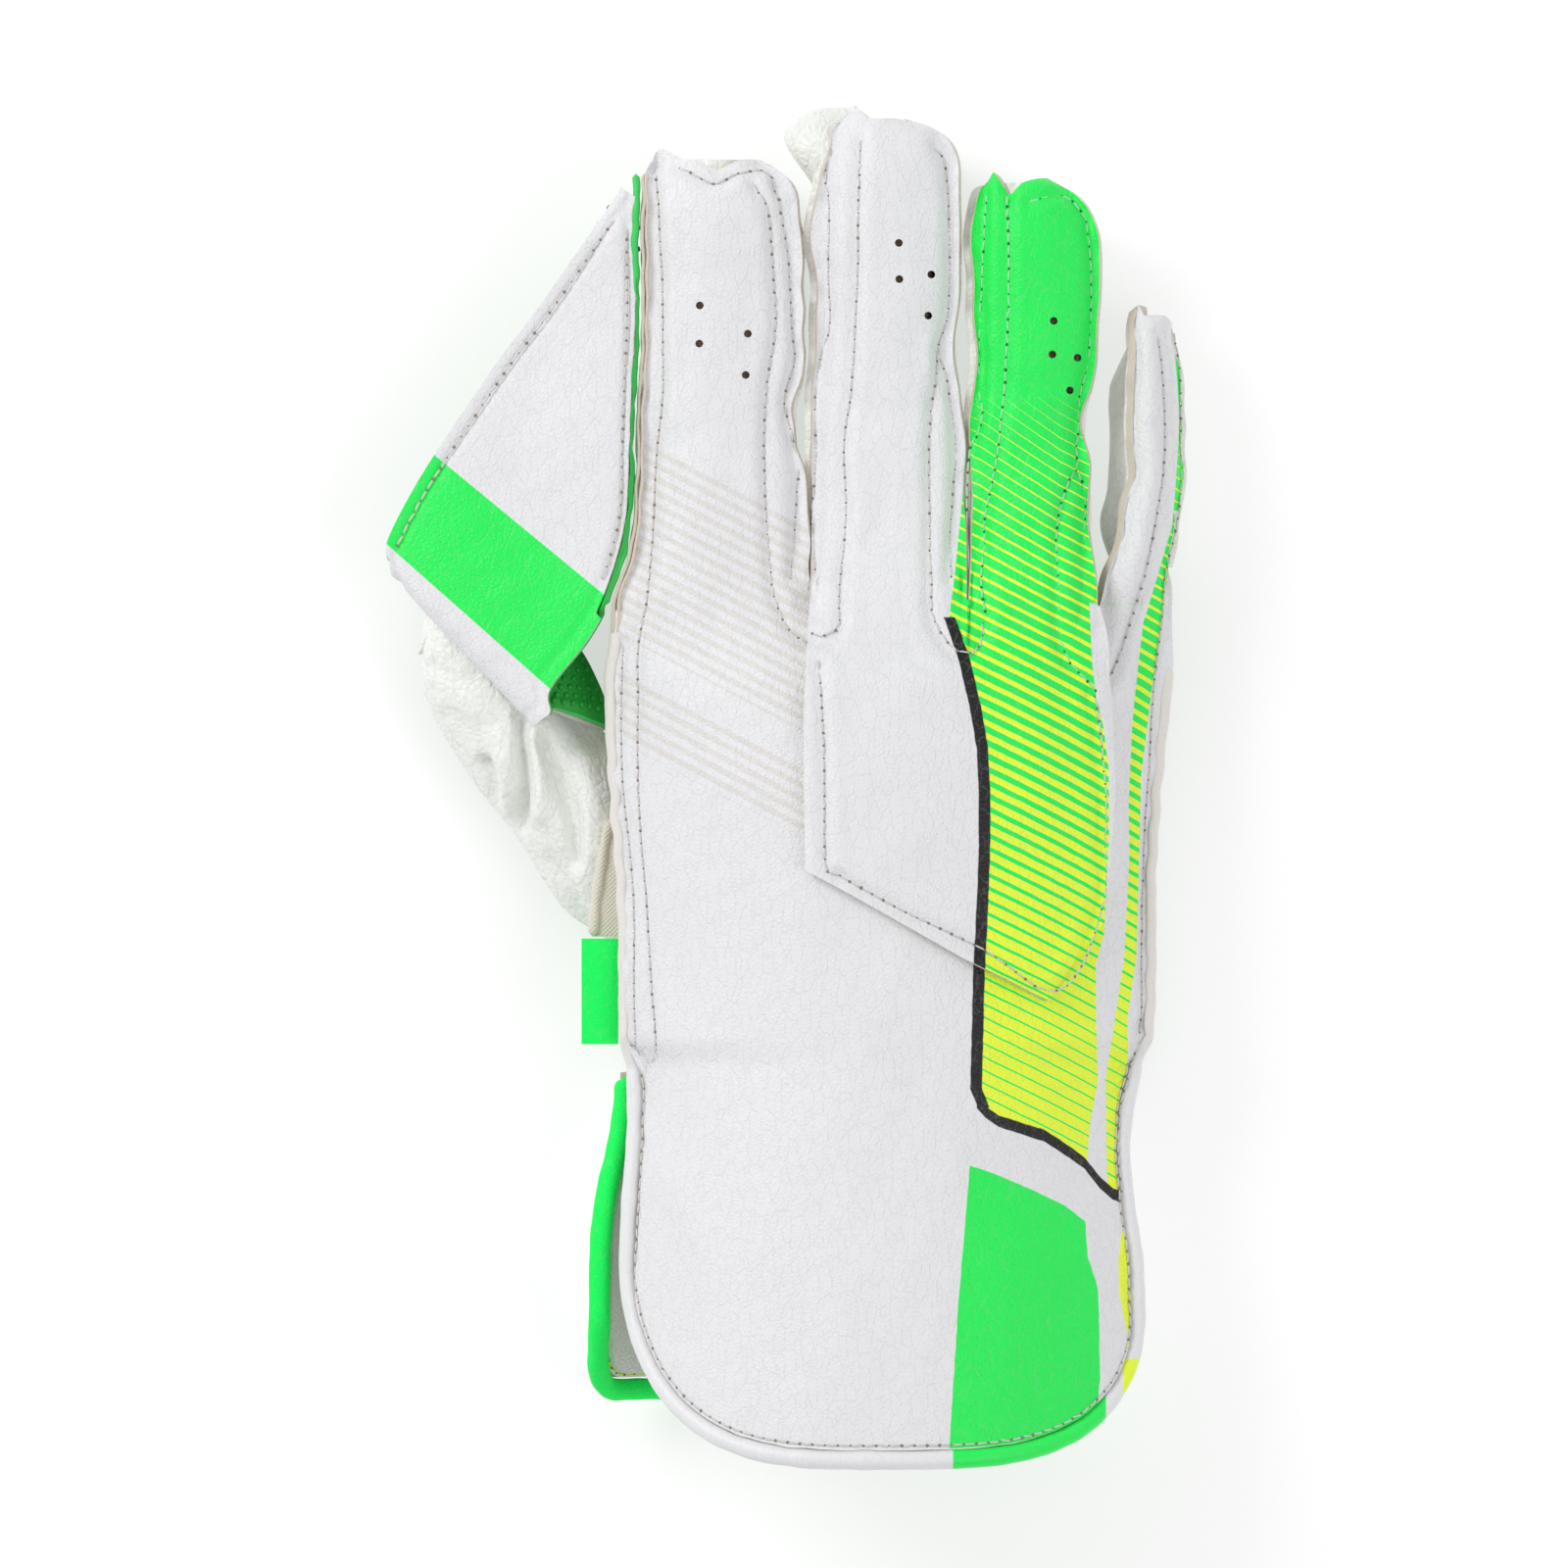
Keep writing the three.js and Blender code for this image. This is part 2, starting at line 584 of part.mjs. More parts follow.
// Profile of a gusset from the edge of its seam allowance down to the palm, as inset and height
function gussetSection({ point, out, finger, other = finger }, bulge) {
  const flange = finger === fingers[LITTLE] ? littleFlangeWidth : flangeWidth;
  const at = (inset, z) => point.clone().addScaledVector(out, -inset).setZ(z);
  const tipSlack = 2 * smooth(((point.y - crotchY) / finger.length - 0.9) / 0.1);
  const over = Math.min(underBack(finger, point.x, point.y), underBack(other, point.x, point.y));
  const outerTop = over - tipSlack;
  const seam = at(flange, 0);
  const inside = at(flange + gussetThickness, 0);
  const innerTop = Math.min(
    outerTop + 0.8,
    underBack(finger, seam.x, seam.y) - tipSlack,
    underBack(finger, inside.x, inside.y) - tipSlack,
  );
  const tipRise = palmTipRise((point.y - crotchY) / (finger.length - handPalmInset));
  const bottom = palmLift(point.y) + fingerEdgeRise + tipRise + palmThickness + clearance;
  const upper = mix(bottom, outerTop - gussetThickness, 0.7);
  const lower = mix(bottom, outerTop - gussetThickness, 0.3);
  const wall = flange + gussetThickness;
  return [
    { outer: at(0, outerTop - gussetThickness), inner: at(0, outerTop) },
    { outer: at(flange, outerTop - gussetThickness), inner: at(wall, innerTop) },
    { outer: at(flange - bulge, upper), inner: at(wall - bulge, upper) },
    { outer: at(flange - bulge, lower), inner: at(wall - bulge, lower) },
    { outer: at(flange, bottom), inner: at(wall, bottom) },
  ];
}

function gusset(path, bulgeOf) {
  const sections = path.map((station) => gussetSection(station, bulgeOf(station)));
  const rows = sections.map((_, i) => i);
  return sheetGeometry(rows, [0, 1, 2, 3, 4], (i, j) => sections[i][j]);
}

// The short turn at the crotch between two fingers
function crotchTurn(before, after) {
  const from = fingerEdge(before, "right", 0);
  const to = fingerEdge(after, "left", 0);
  const depth = 0.3 * (to - from);
  return [-0.8, -0.3, 0.3, 0.8].map((turn) => {
    const x = mix(from, to, (turn + 1) / 2);
    const out = new THREE.Vector3(-turn, 1.2 - Math.abs(turn), 0).normalize();
    const point = new THREE.Vector3(x, crotchY - depth * (1 - turn * turn), 0);
    const [finger, other] = turn < 0 ? [before, after] : [after, before];
    return { point, out, finger, other };
  });
}

const bulgeOf = ({ finger, out, point }) => {
  const leans = finger === fingers[LITTLE] && out.x < -0.5;
  const lean = littleLean * smooth((point.y - crotchY) / bulgeRun);
  return leans ? mix(sideBulge, lean, smooth((crotchY + finger.length - point.y) / bulgeRun)) : sideBulge;
};

function betweenFingers(before, after) {
  const down = sidePath(fingers[before], "right");
  const up = sidePath(fingers[after], "left").reverse();
  return gusset([...down, ...crotchTurn(fingers[before], fingers[after]), ...up], bulgeOf);
}

// Hand sides: walls from under the back's edge down to the palm, with a window where the thumb goes in
const sideWindowLow = thumbRootY - thumbBreadth * 0.42;
const sideWindowHigh = thumbRootY + thumbBreadth * 0.32;
const sideAboveWindow = 22;
const seamRow = 0.95;

function handSide(side) {
  const inwards = side === "left" ? 1 : -1;
  const finger = fingers[side === "left" ? INDEX : LITTLE];
  const endY = palmCuffStartY + clearance;
  const ys = [
    ...[1, 0.4, 0].map((step) => sideWindowHigh + sideAboveWindow * step),
    ...[0.2, 0.4, 0.6, 0.8, 1].map((step) => mix(sideWindowHigh, sideWindowLow, step)),
    ...[0.35, 0.7, 1].map((step) => mix(sideWindowLow, endY, step)),
  ];
  const heights = [0, 0.1, 0.45, 0.8, seamRow, 1];
  const pointAt = (y, height) => {
    const edge = handEdge(side, y);
    const share = side === "left" ? 0 : 1;
    const top = backHeight(finger, side === "left" ? -1 : 1, share, y) - backThickness - clearance;
    const blend = smooth((y - crotchY) / knuckleBlend + 1);
    const rise = mix(palmEdgeRise, fingerEdgeRise, blend);
    const bottom = palmLift(y) + rise + palmThickness + clearance;
    const at = (inset, z) => new THREE.Vector3(edge + inwards * inset, y, z);
    const underSeam = top - gussetThickness;
    if (height === 1) return { outer: at(sideSeamInset, underSeam), inner: at(sideSeamInset, top) };
    const bow = Math.sin((Math.PI * height) / seamRow) * sideBow;
    const inset = handPalmInset + 2 * clearance - bow;
    const outer = at(inset, mix(bottom, underSeam, height / seamRow));
    return { outer, inner: at(inset + gussetThickness, mix(bottom, top, height / seamRow)) };
  };
  const has = (i, j) => !(side === "left" && i >= 2 && i < ys.length - 4 && j >= 1 && j < 3);
  return sheetGeometry(ys, heights, pointAt, has);
}

// Thumb: a leather back and a rubber facing that meet at a seam all round
const thumbRoot = new THREE.Vector3(handEdge("left", thumbRootY) + 1.2, thumbRootY, 0);

function thumbPoint(share, across, top) {
  const rows = thumbSections.map((row, i) => ({ ...row, at: i / (thumbSections.length - 1) }));
  const edge = (outColumn, upColumn) =>
    new THREE.Vector3(
      thumbRoot.x - thumbReach * along(rows, share, outColumn),
      thumbRoot.y + thumbBreadth * along(rows, share, upColumn),
      0,
    );
  const point = edge("lowOut", "low").lerp(edge("highOut", "high"), (across + 1) / 2);
  const full = along(rows, share, "full");
  const dome = top
    ? thumbCrown * full * (1 - Math.abs(across) ** 2.6)
    : -(thumbSeamHeight - clearance) * (0.55 + 0.45 * full) * (1 - Math.abs(across) ** 5);
  return point.setZ(thumbSeamHeight + dome);
}

function thumbHalf(top) {
  const rows = Array.from({ length: 11 }, (_, i) => i / 10);
  const columns = [-1, -0.85, -0.5, 0, 0.5, 0.85, 1];
  const lift = top ? clearance / 2 : -clearance / 2;
  const pointAt = (share, across) => {
    const outer = thumbPoint(share, across, top);
    const safe = Math.max(-0.9, Math.min(0.9, across));
    const inside = Math.max(0.03, Math.min(0.97, share));
    const normal = normalOf((a, b) => thumbPoint(a, b, top), inside, safe, 0.02, 0.04);
    if (!top) normal.negate();
    const inner = outer.clone().addScaledVector(normal, -thumbThickness);
    const limit = thumbSeamHeight + lift;
    inner.z = top ? Math.max(inner.z, limit) : Math.min(inner.z, limit);
    if (Math.abs(across) === 1) inner.z = limit + (top ? thumbThickness : -thumbThickness) * 0.5;
    outer.z += lift;
    return { outer, inner };
  };
  return sheetGeometry(rows, columns, pointAt);
}

// Web: a sheet sewn beside the index finger whose lower edge curls under to the thumb
const webSeamX = (y) => {
  const share = clamp01((y - crotchY) / indexLength);
  return fingerEdge(fingers[INDEX], "left", share) - clearance - webSeamStand;
};
const webFoldHem = { x: -0.97, y: 0.111, z: 0.745, radius: 0.6, dirX: 0.1, dirY: -1 };
const webFoldSeam = { x: -0.332, y: -0.246, z: 0.855, radius: 1, dirX: -0.73, dirY: -0.683 };
const webUnderHem = { x: -0.84, y: 0.05, z: 0.43 };
const webUnderSeam = { x: -0.13, y: -0.29, z: 0.5 };

function webTablePoint(row, across) {
  const entry = webRows[row];
  const hem = new THREE.Vector3(
    webAnchorX - webReach * entry.hemOut,
    crotchY + webHeight * entry.hemUp,
    webHeightZ * entry.hemLift,
  );
  const seamY = crotchY + webHeight * entry.seamUp;
  const seamX = entry.seamOut > 0 ? webAnchorX - webReach * entry.seamOut : webSeamX(seamY);
  const seam = new THREE.Vector3(seamX, seamY, webHeightZ * entry.seamLift);
  return hem.lerp(seam, across);
}

const webFoldPlace = (across, column) => mix(webFoldHem[column], webFoldSeam[column], across);

function webCurlPoint(turn, across) {
  const radius = webCurlRadius * webFoldPlace(across, "radius");
  const reach = radius * Math.sin(turn);
  return new THREE.Vector3(
    webAnchorX + webReach * webFoldPlace(across, "x") + reach * webFoldPlace(across, "dirX"),
    crotchY + webHeight * webFoldPlace(across, "y") + reach * webFoldPlace(across, "dirY"),
    webHeightZ * webFoldPlace(across, "z") + radius * Math.cos(turn),
  );
}

function webUnderPoint(share, across) {
  const start = webCurlPoint(Math.PI, across);
  const bow = webBow * 4 * across * (1 - across);
  const end = new THREE.Vector3(
    webAnchorX + webReach * mix(webUnderHem.x, webUnderSeam.x, across) - bow * webFoldSeam.dirX,
    crotchY + webHeight * mix(webUnderHem.y, webUnderSeam.y, across) - bow * webFoldSeam.dirY,
    webHeightZ * mix(webUnderHem.z, webUnderSeam.z, across),
  );
  const point = start.clone().lerp(end, share);
  point.z = mix(start.z, end.z, share ** 1.8);
  return point;
}

// The web's outer surface: rows of the flat part, then the curl, then the part under it
const webCurlTurns = 6;
const webUnderRows = 3;
const webRowCount = webRows.length + webCurlTurns + 1 + webUnderRows;

function webPoint(row, across) {
  if (row < webRows.length) return webTablePoint(row, across);
  const turnRow = row - webRows.length;
  if (turnRow <= webCurlTurns) return webCurlPoint((Math.PI * turnRow) / webCurlTurns, across);
  return webUnderPoint((turnRow - webCurlTurns) / webUnderRows, across);
}

function webPly(depth, thickness) {
  const rows = Array.from({ length: webRowCount }, (_, i) => i);
  const columns = [0, 0.2, 0.4, 0.6, 0.8, 1];
  const pointAt = (row, across) => {
    const before = Math.max(0, row - 1);
    const after = Math.min(webRowCount - 1, row + 1);
    const near = Math.max(0, across - 0.05);
    const far = Math.min(1, across + 0.05);
    const down = webPoint(after, across).sub(webPoint(before, across));
    const over = webPoint(row, far).sub(webPoint(row, near));
    const inwards = down.cross(over).normalize().negate();
    const point = webPoint(row, across);
    const outer = point.clone().addScaledVector(inwards, depth);
    return { outer, inner: point.clone().addScaledVector(inwards, depth + thickness) };
  };
  return sheetGeometry(rows, columns, pointAt);
}

// Back binding: a padded roll round the edge of the back cuff
function edgeStation(point, before, after, normal, offset) {
  const tangent = after.clone().sub(before).normalize();
  const side = tangent.clone().cross(normal).normalize();
  return { centre: point.clone().addScaledVector(side, offset), side, up: normal.clone() };
}

function backBinding() {
  const path = [];
  const left = fingers[INDEX];
  const right = fingers[LITTLE];
  const runOf = (y, share) => (y - cuffEndY(share)) / (crotchY - cuffEndY(share));
  const sideSteps = 7;
  for (let i = 0; i < sideSteps; i += 1) {
    path.push([left, -1, runOf(mix(backBindingTop, cuffEndY(0), i / sideSteps), 0)]);
  }
  const endSteps = 26;
  for (let i = 0; i <= endSteps; i += 1) {
    const share = (1 - Math.cos((Math.PI * i) / endSteps)) / 2;
    const x = handLeftX + share * knuckleWidth;
    const finger = fingers.findLast(({ baseX }) => baseX <= x) ?? left;
    path.push([finger, (2 * (x - finger.baseX)) / finger.width - 1, 0]);
  }
  for (let i = 1; i <= sideSteps; i += 1) {
    path.push([right, 1, runOf(mix(cuffEndY(1), backBindingTop, i / sideSteps), 1)]);
  }
  const mids = path.map(([finger, across, run]) => {
    const normal = backNormal(finger, across, run);
    return { normal, point: backPoint(finger, across, run).addScaledVector(normal, -backThickness / 2) };
  });
  const stations = mids.map(({ point, normal }, i) => {
    const before = mids[Math.max(0, i - 1)].point;
    const after = mids[Math.min(mids.length - 1, i + 1)].point;
    return edgeStation(point, before, after, normal, backRollWidth + clearance);
  });
  return rollGeometry(stations, backRollWidth, backRollHeight);
}

// Palm cuff: the lower half of the cuff, wider than the back on the thumb side
function palmCuffPoint(turn, y, depth) {
  const spread = smooth((palmCuffStartY - y) / palmCuffSpread);
  const left = handEdge("left", y) - palmCuffOverhang * spread + depth;
  const right = handEdge("right", y) - Math.max(handPalmInset, rollRoom(y) + 3) - depth;
  const leftTop = palmCuffEdgeHeight + palmCuffEdgeRise * spread;
  const rightTop = handHeight("rightSeam", y) - backThickness * 1.3 - clearance;
  const angle = Math.PI * turn;
  const across = (Math.sign(Math.cos(angle)) * Math.abs(Math.cos(angle)) ** palmCuffRounding + 1) / 2;
  const fall = Math.sin(angle) ** palmCuffRounding;
  const top = mix(leftTop, rightTop, across);
  const bottom = depth + (palmRollRadius - palmCuffThickness / 2) * smooth((palmCuffStartY - y) / 60);
  return new THREE.Vector3(mix(left, right, across), y, mix(top, bottom, fall));
}

function palmCuffEnd(turn) {
  const cornerAt = (share) => 1 - Math.sqrt(1 - clamp01(1 - share / palmCuffCornerShare) ** 2);
  return palmCuffEndY + palmCuffCorner * (cornerAt(1 - turn) + cornerAt(turn));
}

const cuffTurns = [0, 0.03, 0.07, 0.13, 0.2, 0.28, 0.38, 0.5, 0.62, 0.72, 0.8, 0.87, 0.93, 0.97, 1];

function palmCuffSheet(depth, thickness, endInset) {
  const rows = [0, 0.17, 0.34, 0.5, 0.66, 0.8, 0.9, 1];
  const pointAt = (row, turn) => {
    const y = mix(palmCuffStartY, palmCuffEnd(turn) + endInset, row);
    return { outer: palmCuffPoint(turn, y, depth), inner: palmCuffPoint(turn, y, depth + thickness) };
  };
  return sheetGeometry(rows, cuffTurns, pointAt);
}

// Palm binding: the roll along the palm cuff's free side and round its end
function palmBinding() {
  const middleDepth = palmCuffThickness / 2;
  const bindingStop = 0.95;
  const rows = [];
  const sideSteps = 8;
  for (let i = 0; i < sideSteps; i += 1) {
    rows.push({ turn: 1, y: mix(palmCuffStartY - 1.2, palmCuffEnd(1), i / sideSteps) });
  }
  const endSteps = 26;
  for (let i = 0; i <= endSteps; i += 1) {
    const turn = 1 - (bindingStop * (1 - Math.cos((Math.PI * i) / endSteps))) / 2;
    rows.push({ turn, y: palmCuffEnd(turn) });
  }
  const points = rows.map(({ turn, y }) => palmCuffPoint(turn, y, middleDepth));
  const stations = points.map((point, i) => {
    const { turn, y } = rows[i];
    const before = points[Math.max(0, i - 1)];
    const after = points[Math.min(points.length - 1, i + 1)];
    const outside = palmCuffPoint(turn, y, 0);
    const normal = outside.sub(palmCuffPoint(turn, y, middleDepth)).normalize();
    return edgeStation(point, before, after, normal, -(palmRollRadius + clearance));
  });
  return rollGeometry(stations, palmRollRadius, palmRollRadius);
}

// Side tag: a folded tab sewn into the side seam
function sideTag() {
  const edge = handEdge("left", tagY) - clearance;
  const top = backHeight(fingers[INDEX], -1, 0, tagY) - backThickness;
  const rows = [-0.5, -0.17, 0.17, 0.5];
  const columns = [0, 0.35, 0.7, 1];
  const pointAt = (length, reach) => {
    const x = edge - tagReach * reach;
    const outer = new THREE.Vector3(x, tagY + tagLength * length, top - tagSag * reach * reach);
    return { outer, inner: outer.clone().setZ(outer.z - tagThickness) };
  };
  return sheetGeometry(rows, columns, pointAt);
}

// Materials
const leather = (color) => new THREE.MeshStandardMaterial({ color, roughness: 0.5, metalness: 0 });
const whiteLeather = leather(0xebebed);
const overlayLeather = leather(0xe9eaea);
const softLeather = leather(0xeff1ec);
const greyLeather = leather(0xbfbcb7);
const creamCloth = new THREE.MeshStandardMaterial({ color: 0xebe9db, roughness: 0.9, metalness: 0 });
const greenRubber = new THREE.MeshStandardMaterial({ color: 0x16a034, roughness: 0.75, metalness: 0 });
const greenTape = leather(0x2dee5f);
const liningCloth = new THREE.MeshStandardMaterial({ color: 0xc9c6c1, roughness: 0.95, metalness: 0 });

function named(name, geometry, material) {
  const mesh = new THREE.Mesh(geometry, material);
  mesh.name = name;
  return mesh;
}

// The glove, centred over the surface that it lies on
const pieces = [
  named("hand_back", handBack(), whiteLeather),
  named("finger_overlay", fingerOverlay(), overlayLeather),
  named("palm_rubber", palmRubber(), greenRubber),
  named("index_side", gusset(sidePath(fingers[INDEX], "left").slice(0, -1), bulgeOf), softLeather),
  named("gusset_index_middle", betweenFingers(INDEX, MIDDLE), softLeather),
  named("gusset_middle_ring", betweenFingers(MIDDLE, RING), softLeather),
  named("gusset_ring_little", betweenFingers(RING, LITTLE), greyLeather),
  named("little_side", gusset(sidePath(fingers[LITTLE], "right").slice(0, -1), bulgeOf), softLeather),
  named("thumb_side_gusset", handSide("left"), creamCloth),
  named("little_side_gusset", handSide("right"), whiteLeather),
  named("thumb_back", thumbHalf(true), softLeather),
  named("thumb_rubber", thumbHalf(false), greenRubber),
  named("web_leather", webPly(0, webLeather), whiteLeather),
  named("web_rubber", webPly(webLeather + clearance, webRubber), greenRubber),
  named("palm_cuff", palmCuffSheet(0, palmCuffThickness, 0), whiteLeather),
  named("cuff_lining", palmCuffSheet(palmCuffThickness + clearance, liningThickness, 1), liningCloth),
  named("back_binding", backBinding(), whiteLeather),
  named("palm_binding", palmBinding(), greenTape),
  named("side_tag", sideTag(), greenTape),
];
const glove = new THREE.Group();
glove.add(...pieces);
const extent = new THREE.Box3().setFromObject(glove, true);
glove.position.set(-(extent.min.x + extent.max.x) / 2, -(extent.min.y + extent.max.y) / 2, -extent.min.z);

export default glove;
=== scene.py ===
"""A right-hand wicketkeeping glove: its leather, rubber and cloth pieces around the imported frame."""

import math

import bpy
import numpy as np
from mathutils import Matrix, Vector


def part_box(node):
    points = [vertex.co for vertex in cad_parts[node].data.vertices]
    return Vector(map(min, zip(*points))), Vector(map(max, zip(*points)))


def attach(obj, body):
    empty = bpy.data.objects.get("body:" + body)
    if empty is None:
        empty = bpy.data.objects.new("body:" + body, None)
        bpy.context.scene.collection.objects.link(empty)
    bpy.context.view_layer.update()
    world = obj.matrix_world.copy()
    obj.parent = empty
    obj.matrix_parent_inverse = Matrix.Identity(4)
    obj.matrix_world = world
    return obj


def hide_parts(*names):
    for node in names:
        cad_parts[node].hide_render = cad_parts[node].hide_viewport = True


bl_info = {
    "name": "Wicketkeeping Glove",
    "version": (1, 0, 0),
    "blender": (4, 5, 0),
    "location": "View3D > Sidebar > Glove",
    "description": "Builds the leather, rubber and stitching of a wicketkeeping glove",
    "category": "Object",
}

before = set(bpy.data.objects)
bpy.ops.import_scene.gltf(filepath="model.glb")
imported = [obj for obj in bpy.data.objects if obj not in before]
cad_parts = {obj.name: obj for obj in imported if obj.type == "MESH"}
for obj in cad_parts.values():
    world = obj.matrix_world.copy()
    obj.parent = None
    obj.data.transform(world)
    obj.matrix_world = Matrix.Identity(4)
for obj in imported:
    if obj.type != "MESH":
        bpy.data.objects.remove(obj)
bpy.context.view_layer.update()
MM = 0.001

# Layout: millimetres in the photograph's own frame. X runs from the thumb side to the little finger,
# Y from the cuff to the fingertips, and the sizes are those of the frame's solids
HAND_LENGTH = 218.0
CROTCH_Y = 45.0
HAND_LEFT_X = -44.1
CUFF_CORNER_HEIGHTS = (47, 32)
CUFF_CORNER_POWERS = (3.6, 4)
BACK_THICKNESS = 2.4
OVERLAY_THICKNESS = 2.0
OVERLAY_STAND = 1.1
GUSSET_THICKNESS = 1.8
PALM_THICKNESS = 3.0
CLEARANCE = 0.4
FLANGE_WIDTH = 4.0
PALM_EDGE_RISE = 7.0
FINGER_EDGE_RISE = 1.5
PALM_INSET = 3.5
KNUCKLE_BLEND = 22.0
FINGERTIP_DROP = 5.0
FINGERTIP_RISE = 2.5
LITTLE_FLANGE = 2.6
SIDE_BULGE = 1.5
LITTLE_LEAN = 7.0
BULGE_RUN = 20.0
SEAM_EAR = 3.0
FINGER_CROWN = 5.0
LITTLE_TILT = 7.0
HAND_DEPTH = 58.0
ARCH_POWER = 2.2
BACK_BINDING_TOP = -76.0
BACK_ROLL = (2.5, 2.6)
PALM_CUFF_START = -74.0
PALM_CUFF_END = -152.5
PALM_CUFF_THICKNESS = 2.6
PALM_ROLL = 2.8
LINING_THICKNESS = 1.6
TAG_Y = -53.0
TAG_LENGTH = 27.0
TAG_REACH = 9.4
TAG_THICKNESS = 1.8
THUMB_ROOT_Y = -13.0
THUMB_REACH = 51.0
THUMB_BREADTH = 58.0
THUMB_SEAM = 15.0
THUMB_CROWN = 11.0
THUMB_THICKNESS = 2.2
WEB_REACH = 64.5
WEB_HEIGHT = 108.0
WEB_LIFT = 39.0
WEB_ANCHOR_X = HAND_LEFT_X + 5.5
WEB_CURL = 6.0
WEB_LEATHER = 1.6
WEB_RUBBER = 1.8
WEB_BOW = 12.0

# Outlines of the fingers' backs: left and right edges as shares of each finger's width
INDEX_OUTLINE = {
    "at": (0, 0.13, 0.28, 0.43, 0.53, 0.7, 0.84, 0.92, 0.97, 1),
    "left": (0, 0.09, 0.12, 0.125, 0.14, 0.15, 0.145, 0.15, 0.155, 0.2),
    "right": (1, 1, 0.99, 0.92, 0.97, 0.976, 0.96, 0.94, 0.88, 0.76),
}
MIDDLE_OUTLINE = {
    "at": (0, 0.16, 0.33, 0.43, 0.51, 0.62, 0.76, 0.86, 0.94, 0.98, 1),
    "left": (0, 0, -0.01, 0, 0.01, 0.033, -0.015, 0.033, 0.096, 0.14, 0.26),
    "right": (1, 1, 1, 0.975, 0.92, 0.96, 0.965, 0.97, 0.925, 0.81, 0.63),
}
RING_OUTLINE = {
    "at": (0, 0.2, 0.33, 0.43, 0.52, 0.67, 0.84, 0.93, 0.98, 1),
    "left": (0, 0.02, 0.01, -0.005, 0.045, 0.045, 0.01, 0.03, 0.08, 0.17),
    "right": (1, 0.99, 1.005, 0.93, 1.015, 1.07, 1.085, 1.015, 0.87, 0.68),
}
LITTLE_OUTLINE = {
    "at": (0, 0.2, 0.32, 0.45, 0.6, 0.78, 0.9, 0.97, 1),
    "left": (0, 0.17, 0.14, 0.3, 0.29, 0.31, 0.34, 0.33, 0.37),
    "right": (1, 0.99, 1.12, 1.18, 1.18, 1.15, 1.02, 0.99, 0.87),
}

# The hand and cuff: side edges as shares of the knuckle width, heights as shares of the hand's depth
HAND_SECTIONS = {
    "at": (0, 0.09, 0.2, 0.32, 0.4, 0.52, 0.62, 0.69, 0.78, 1),
    "left": (0, -0.0125, -0.0056, 0.008, 0.012, 0.012, 0.012, 0.0035, -0.0014, -0.0014),
    "right": (1, 0.995, 0.977, 0.965, 0.965, 0.958, 0.934, 0.94, 0.958, 0.958),
    "left_seam": (0.6, 0.59, 0.57, 0.56, 0.56, 0.59, 0.64, 0.68, 0.72, 0.78),
    "right_seam": (0.36, 0.38, 0.42, 0.46, 0.49, 0.54, 0.58, 0.61, 0.65, 0.7),
    "crown": (0.34, 0.42, 0.48, 0.5, 0.5, 0.49, 0.49, 0.49, 0.5, 0.52),
}

# The thumb's lower and upper edges as shares of its reach and breadth, and its fullness
THUMB_SECTIONS = {
    "at": (0, 0.125, 0.25, 0.375, 0.5, 0.625, 0.75, 0.875, 1),
    "low_out": (0, 0.12, 0.3, 0.51, 0.7, 0.88, 0.97, 1, 0.99),
    "low": (-0.5, -0.43, -0.31, -0.02, 0.19, 0.43, 0.59, 0.7, 0.8),
    "high_out": (0, 0.06, 0.15, 0.31, 0.48, 0.64, 0.78, 0.88, 0.945),
    "high": (0.37, 0.43, 0.55, 0.74, 0.89, 1.01, 1.07, 1.05, 0.97),
    "full": (0.95, 1, 0.98, 0.98, 1, 0.96, 0.85, 0.66, 0.4),
}

# The web's hem and its seam beside the index finger as shares of its reach, height and lift
WEB_ROWS = {
    "at": (0, 1, 2, 3, 4, 5, 6, 7, 8),
    "hem_out": (0.05, 0.16, 0.28, 0.4, 0.53, 0.66, 0.79, 0.895, 0.98),
    "hem_up": (0.994, 0.9, 0.796, 0.695, 0.593, 0.48, 0.364, 0.26, 0.155),
    "hem_lift": (0.8, 0.79, 0.78, 0.77, 0.77, 0.78, 0.8, 0.81, 0.82),
    "seam_out": (0, 0, 0, 0, 0, 0, 0, 0.18, 0.33),
    "seam_up": (0.965, 0.83, 0.67, 0.52, 0.36, 0.19, 0.03, -0.074, -0.19),
    "seam_lift": (0.79, 0.82, 0.85, 0.88, 0.91, 0.94, 0.97, 0.99, 1),
}


# Sizes and colours that a user would change
def length_property(name, description, millimetres):
    return bpy.props.FloatProperty(
        name=name, description=description, default=millimetres * MM, unit="LENGTH", precision=5
    )


def colour_property(name, description, red, green, blue):
    """A colour given as the photograph shows it, kept as linear light."""
    linear = [((c / 255 + 0.055) / 1.055) ** 2.4 for c in (red, green, blue)]
    return bpy.props.FloatVectorProperty(
        name=name, description=description, default=linear, size=3, subtype="COLOR", min=0, max=1
    )


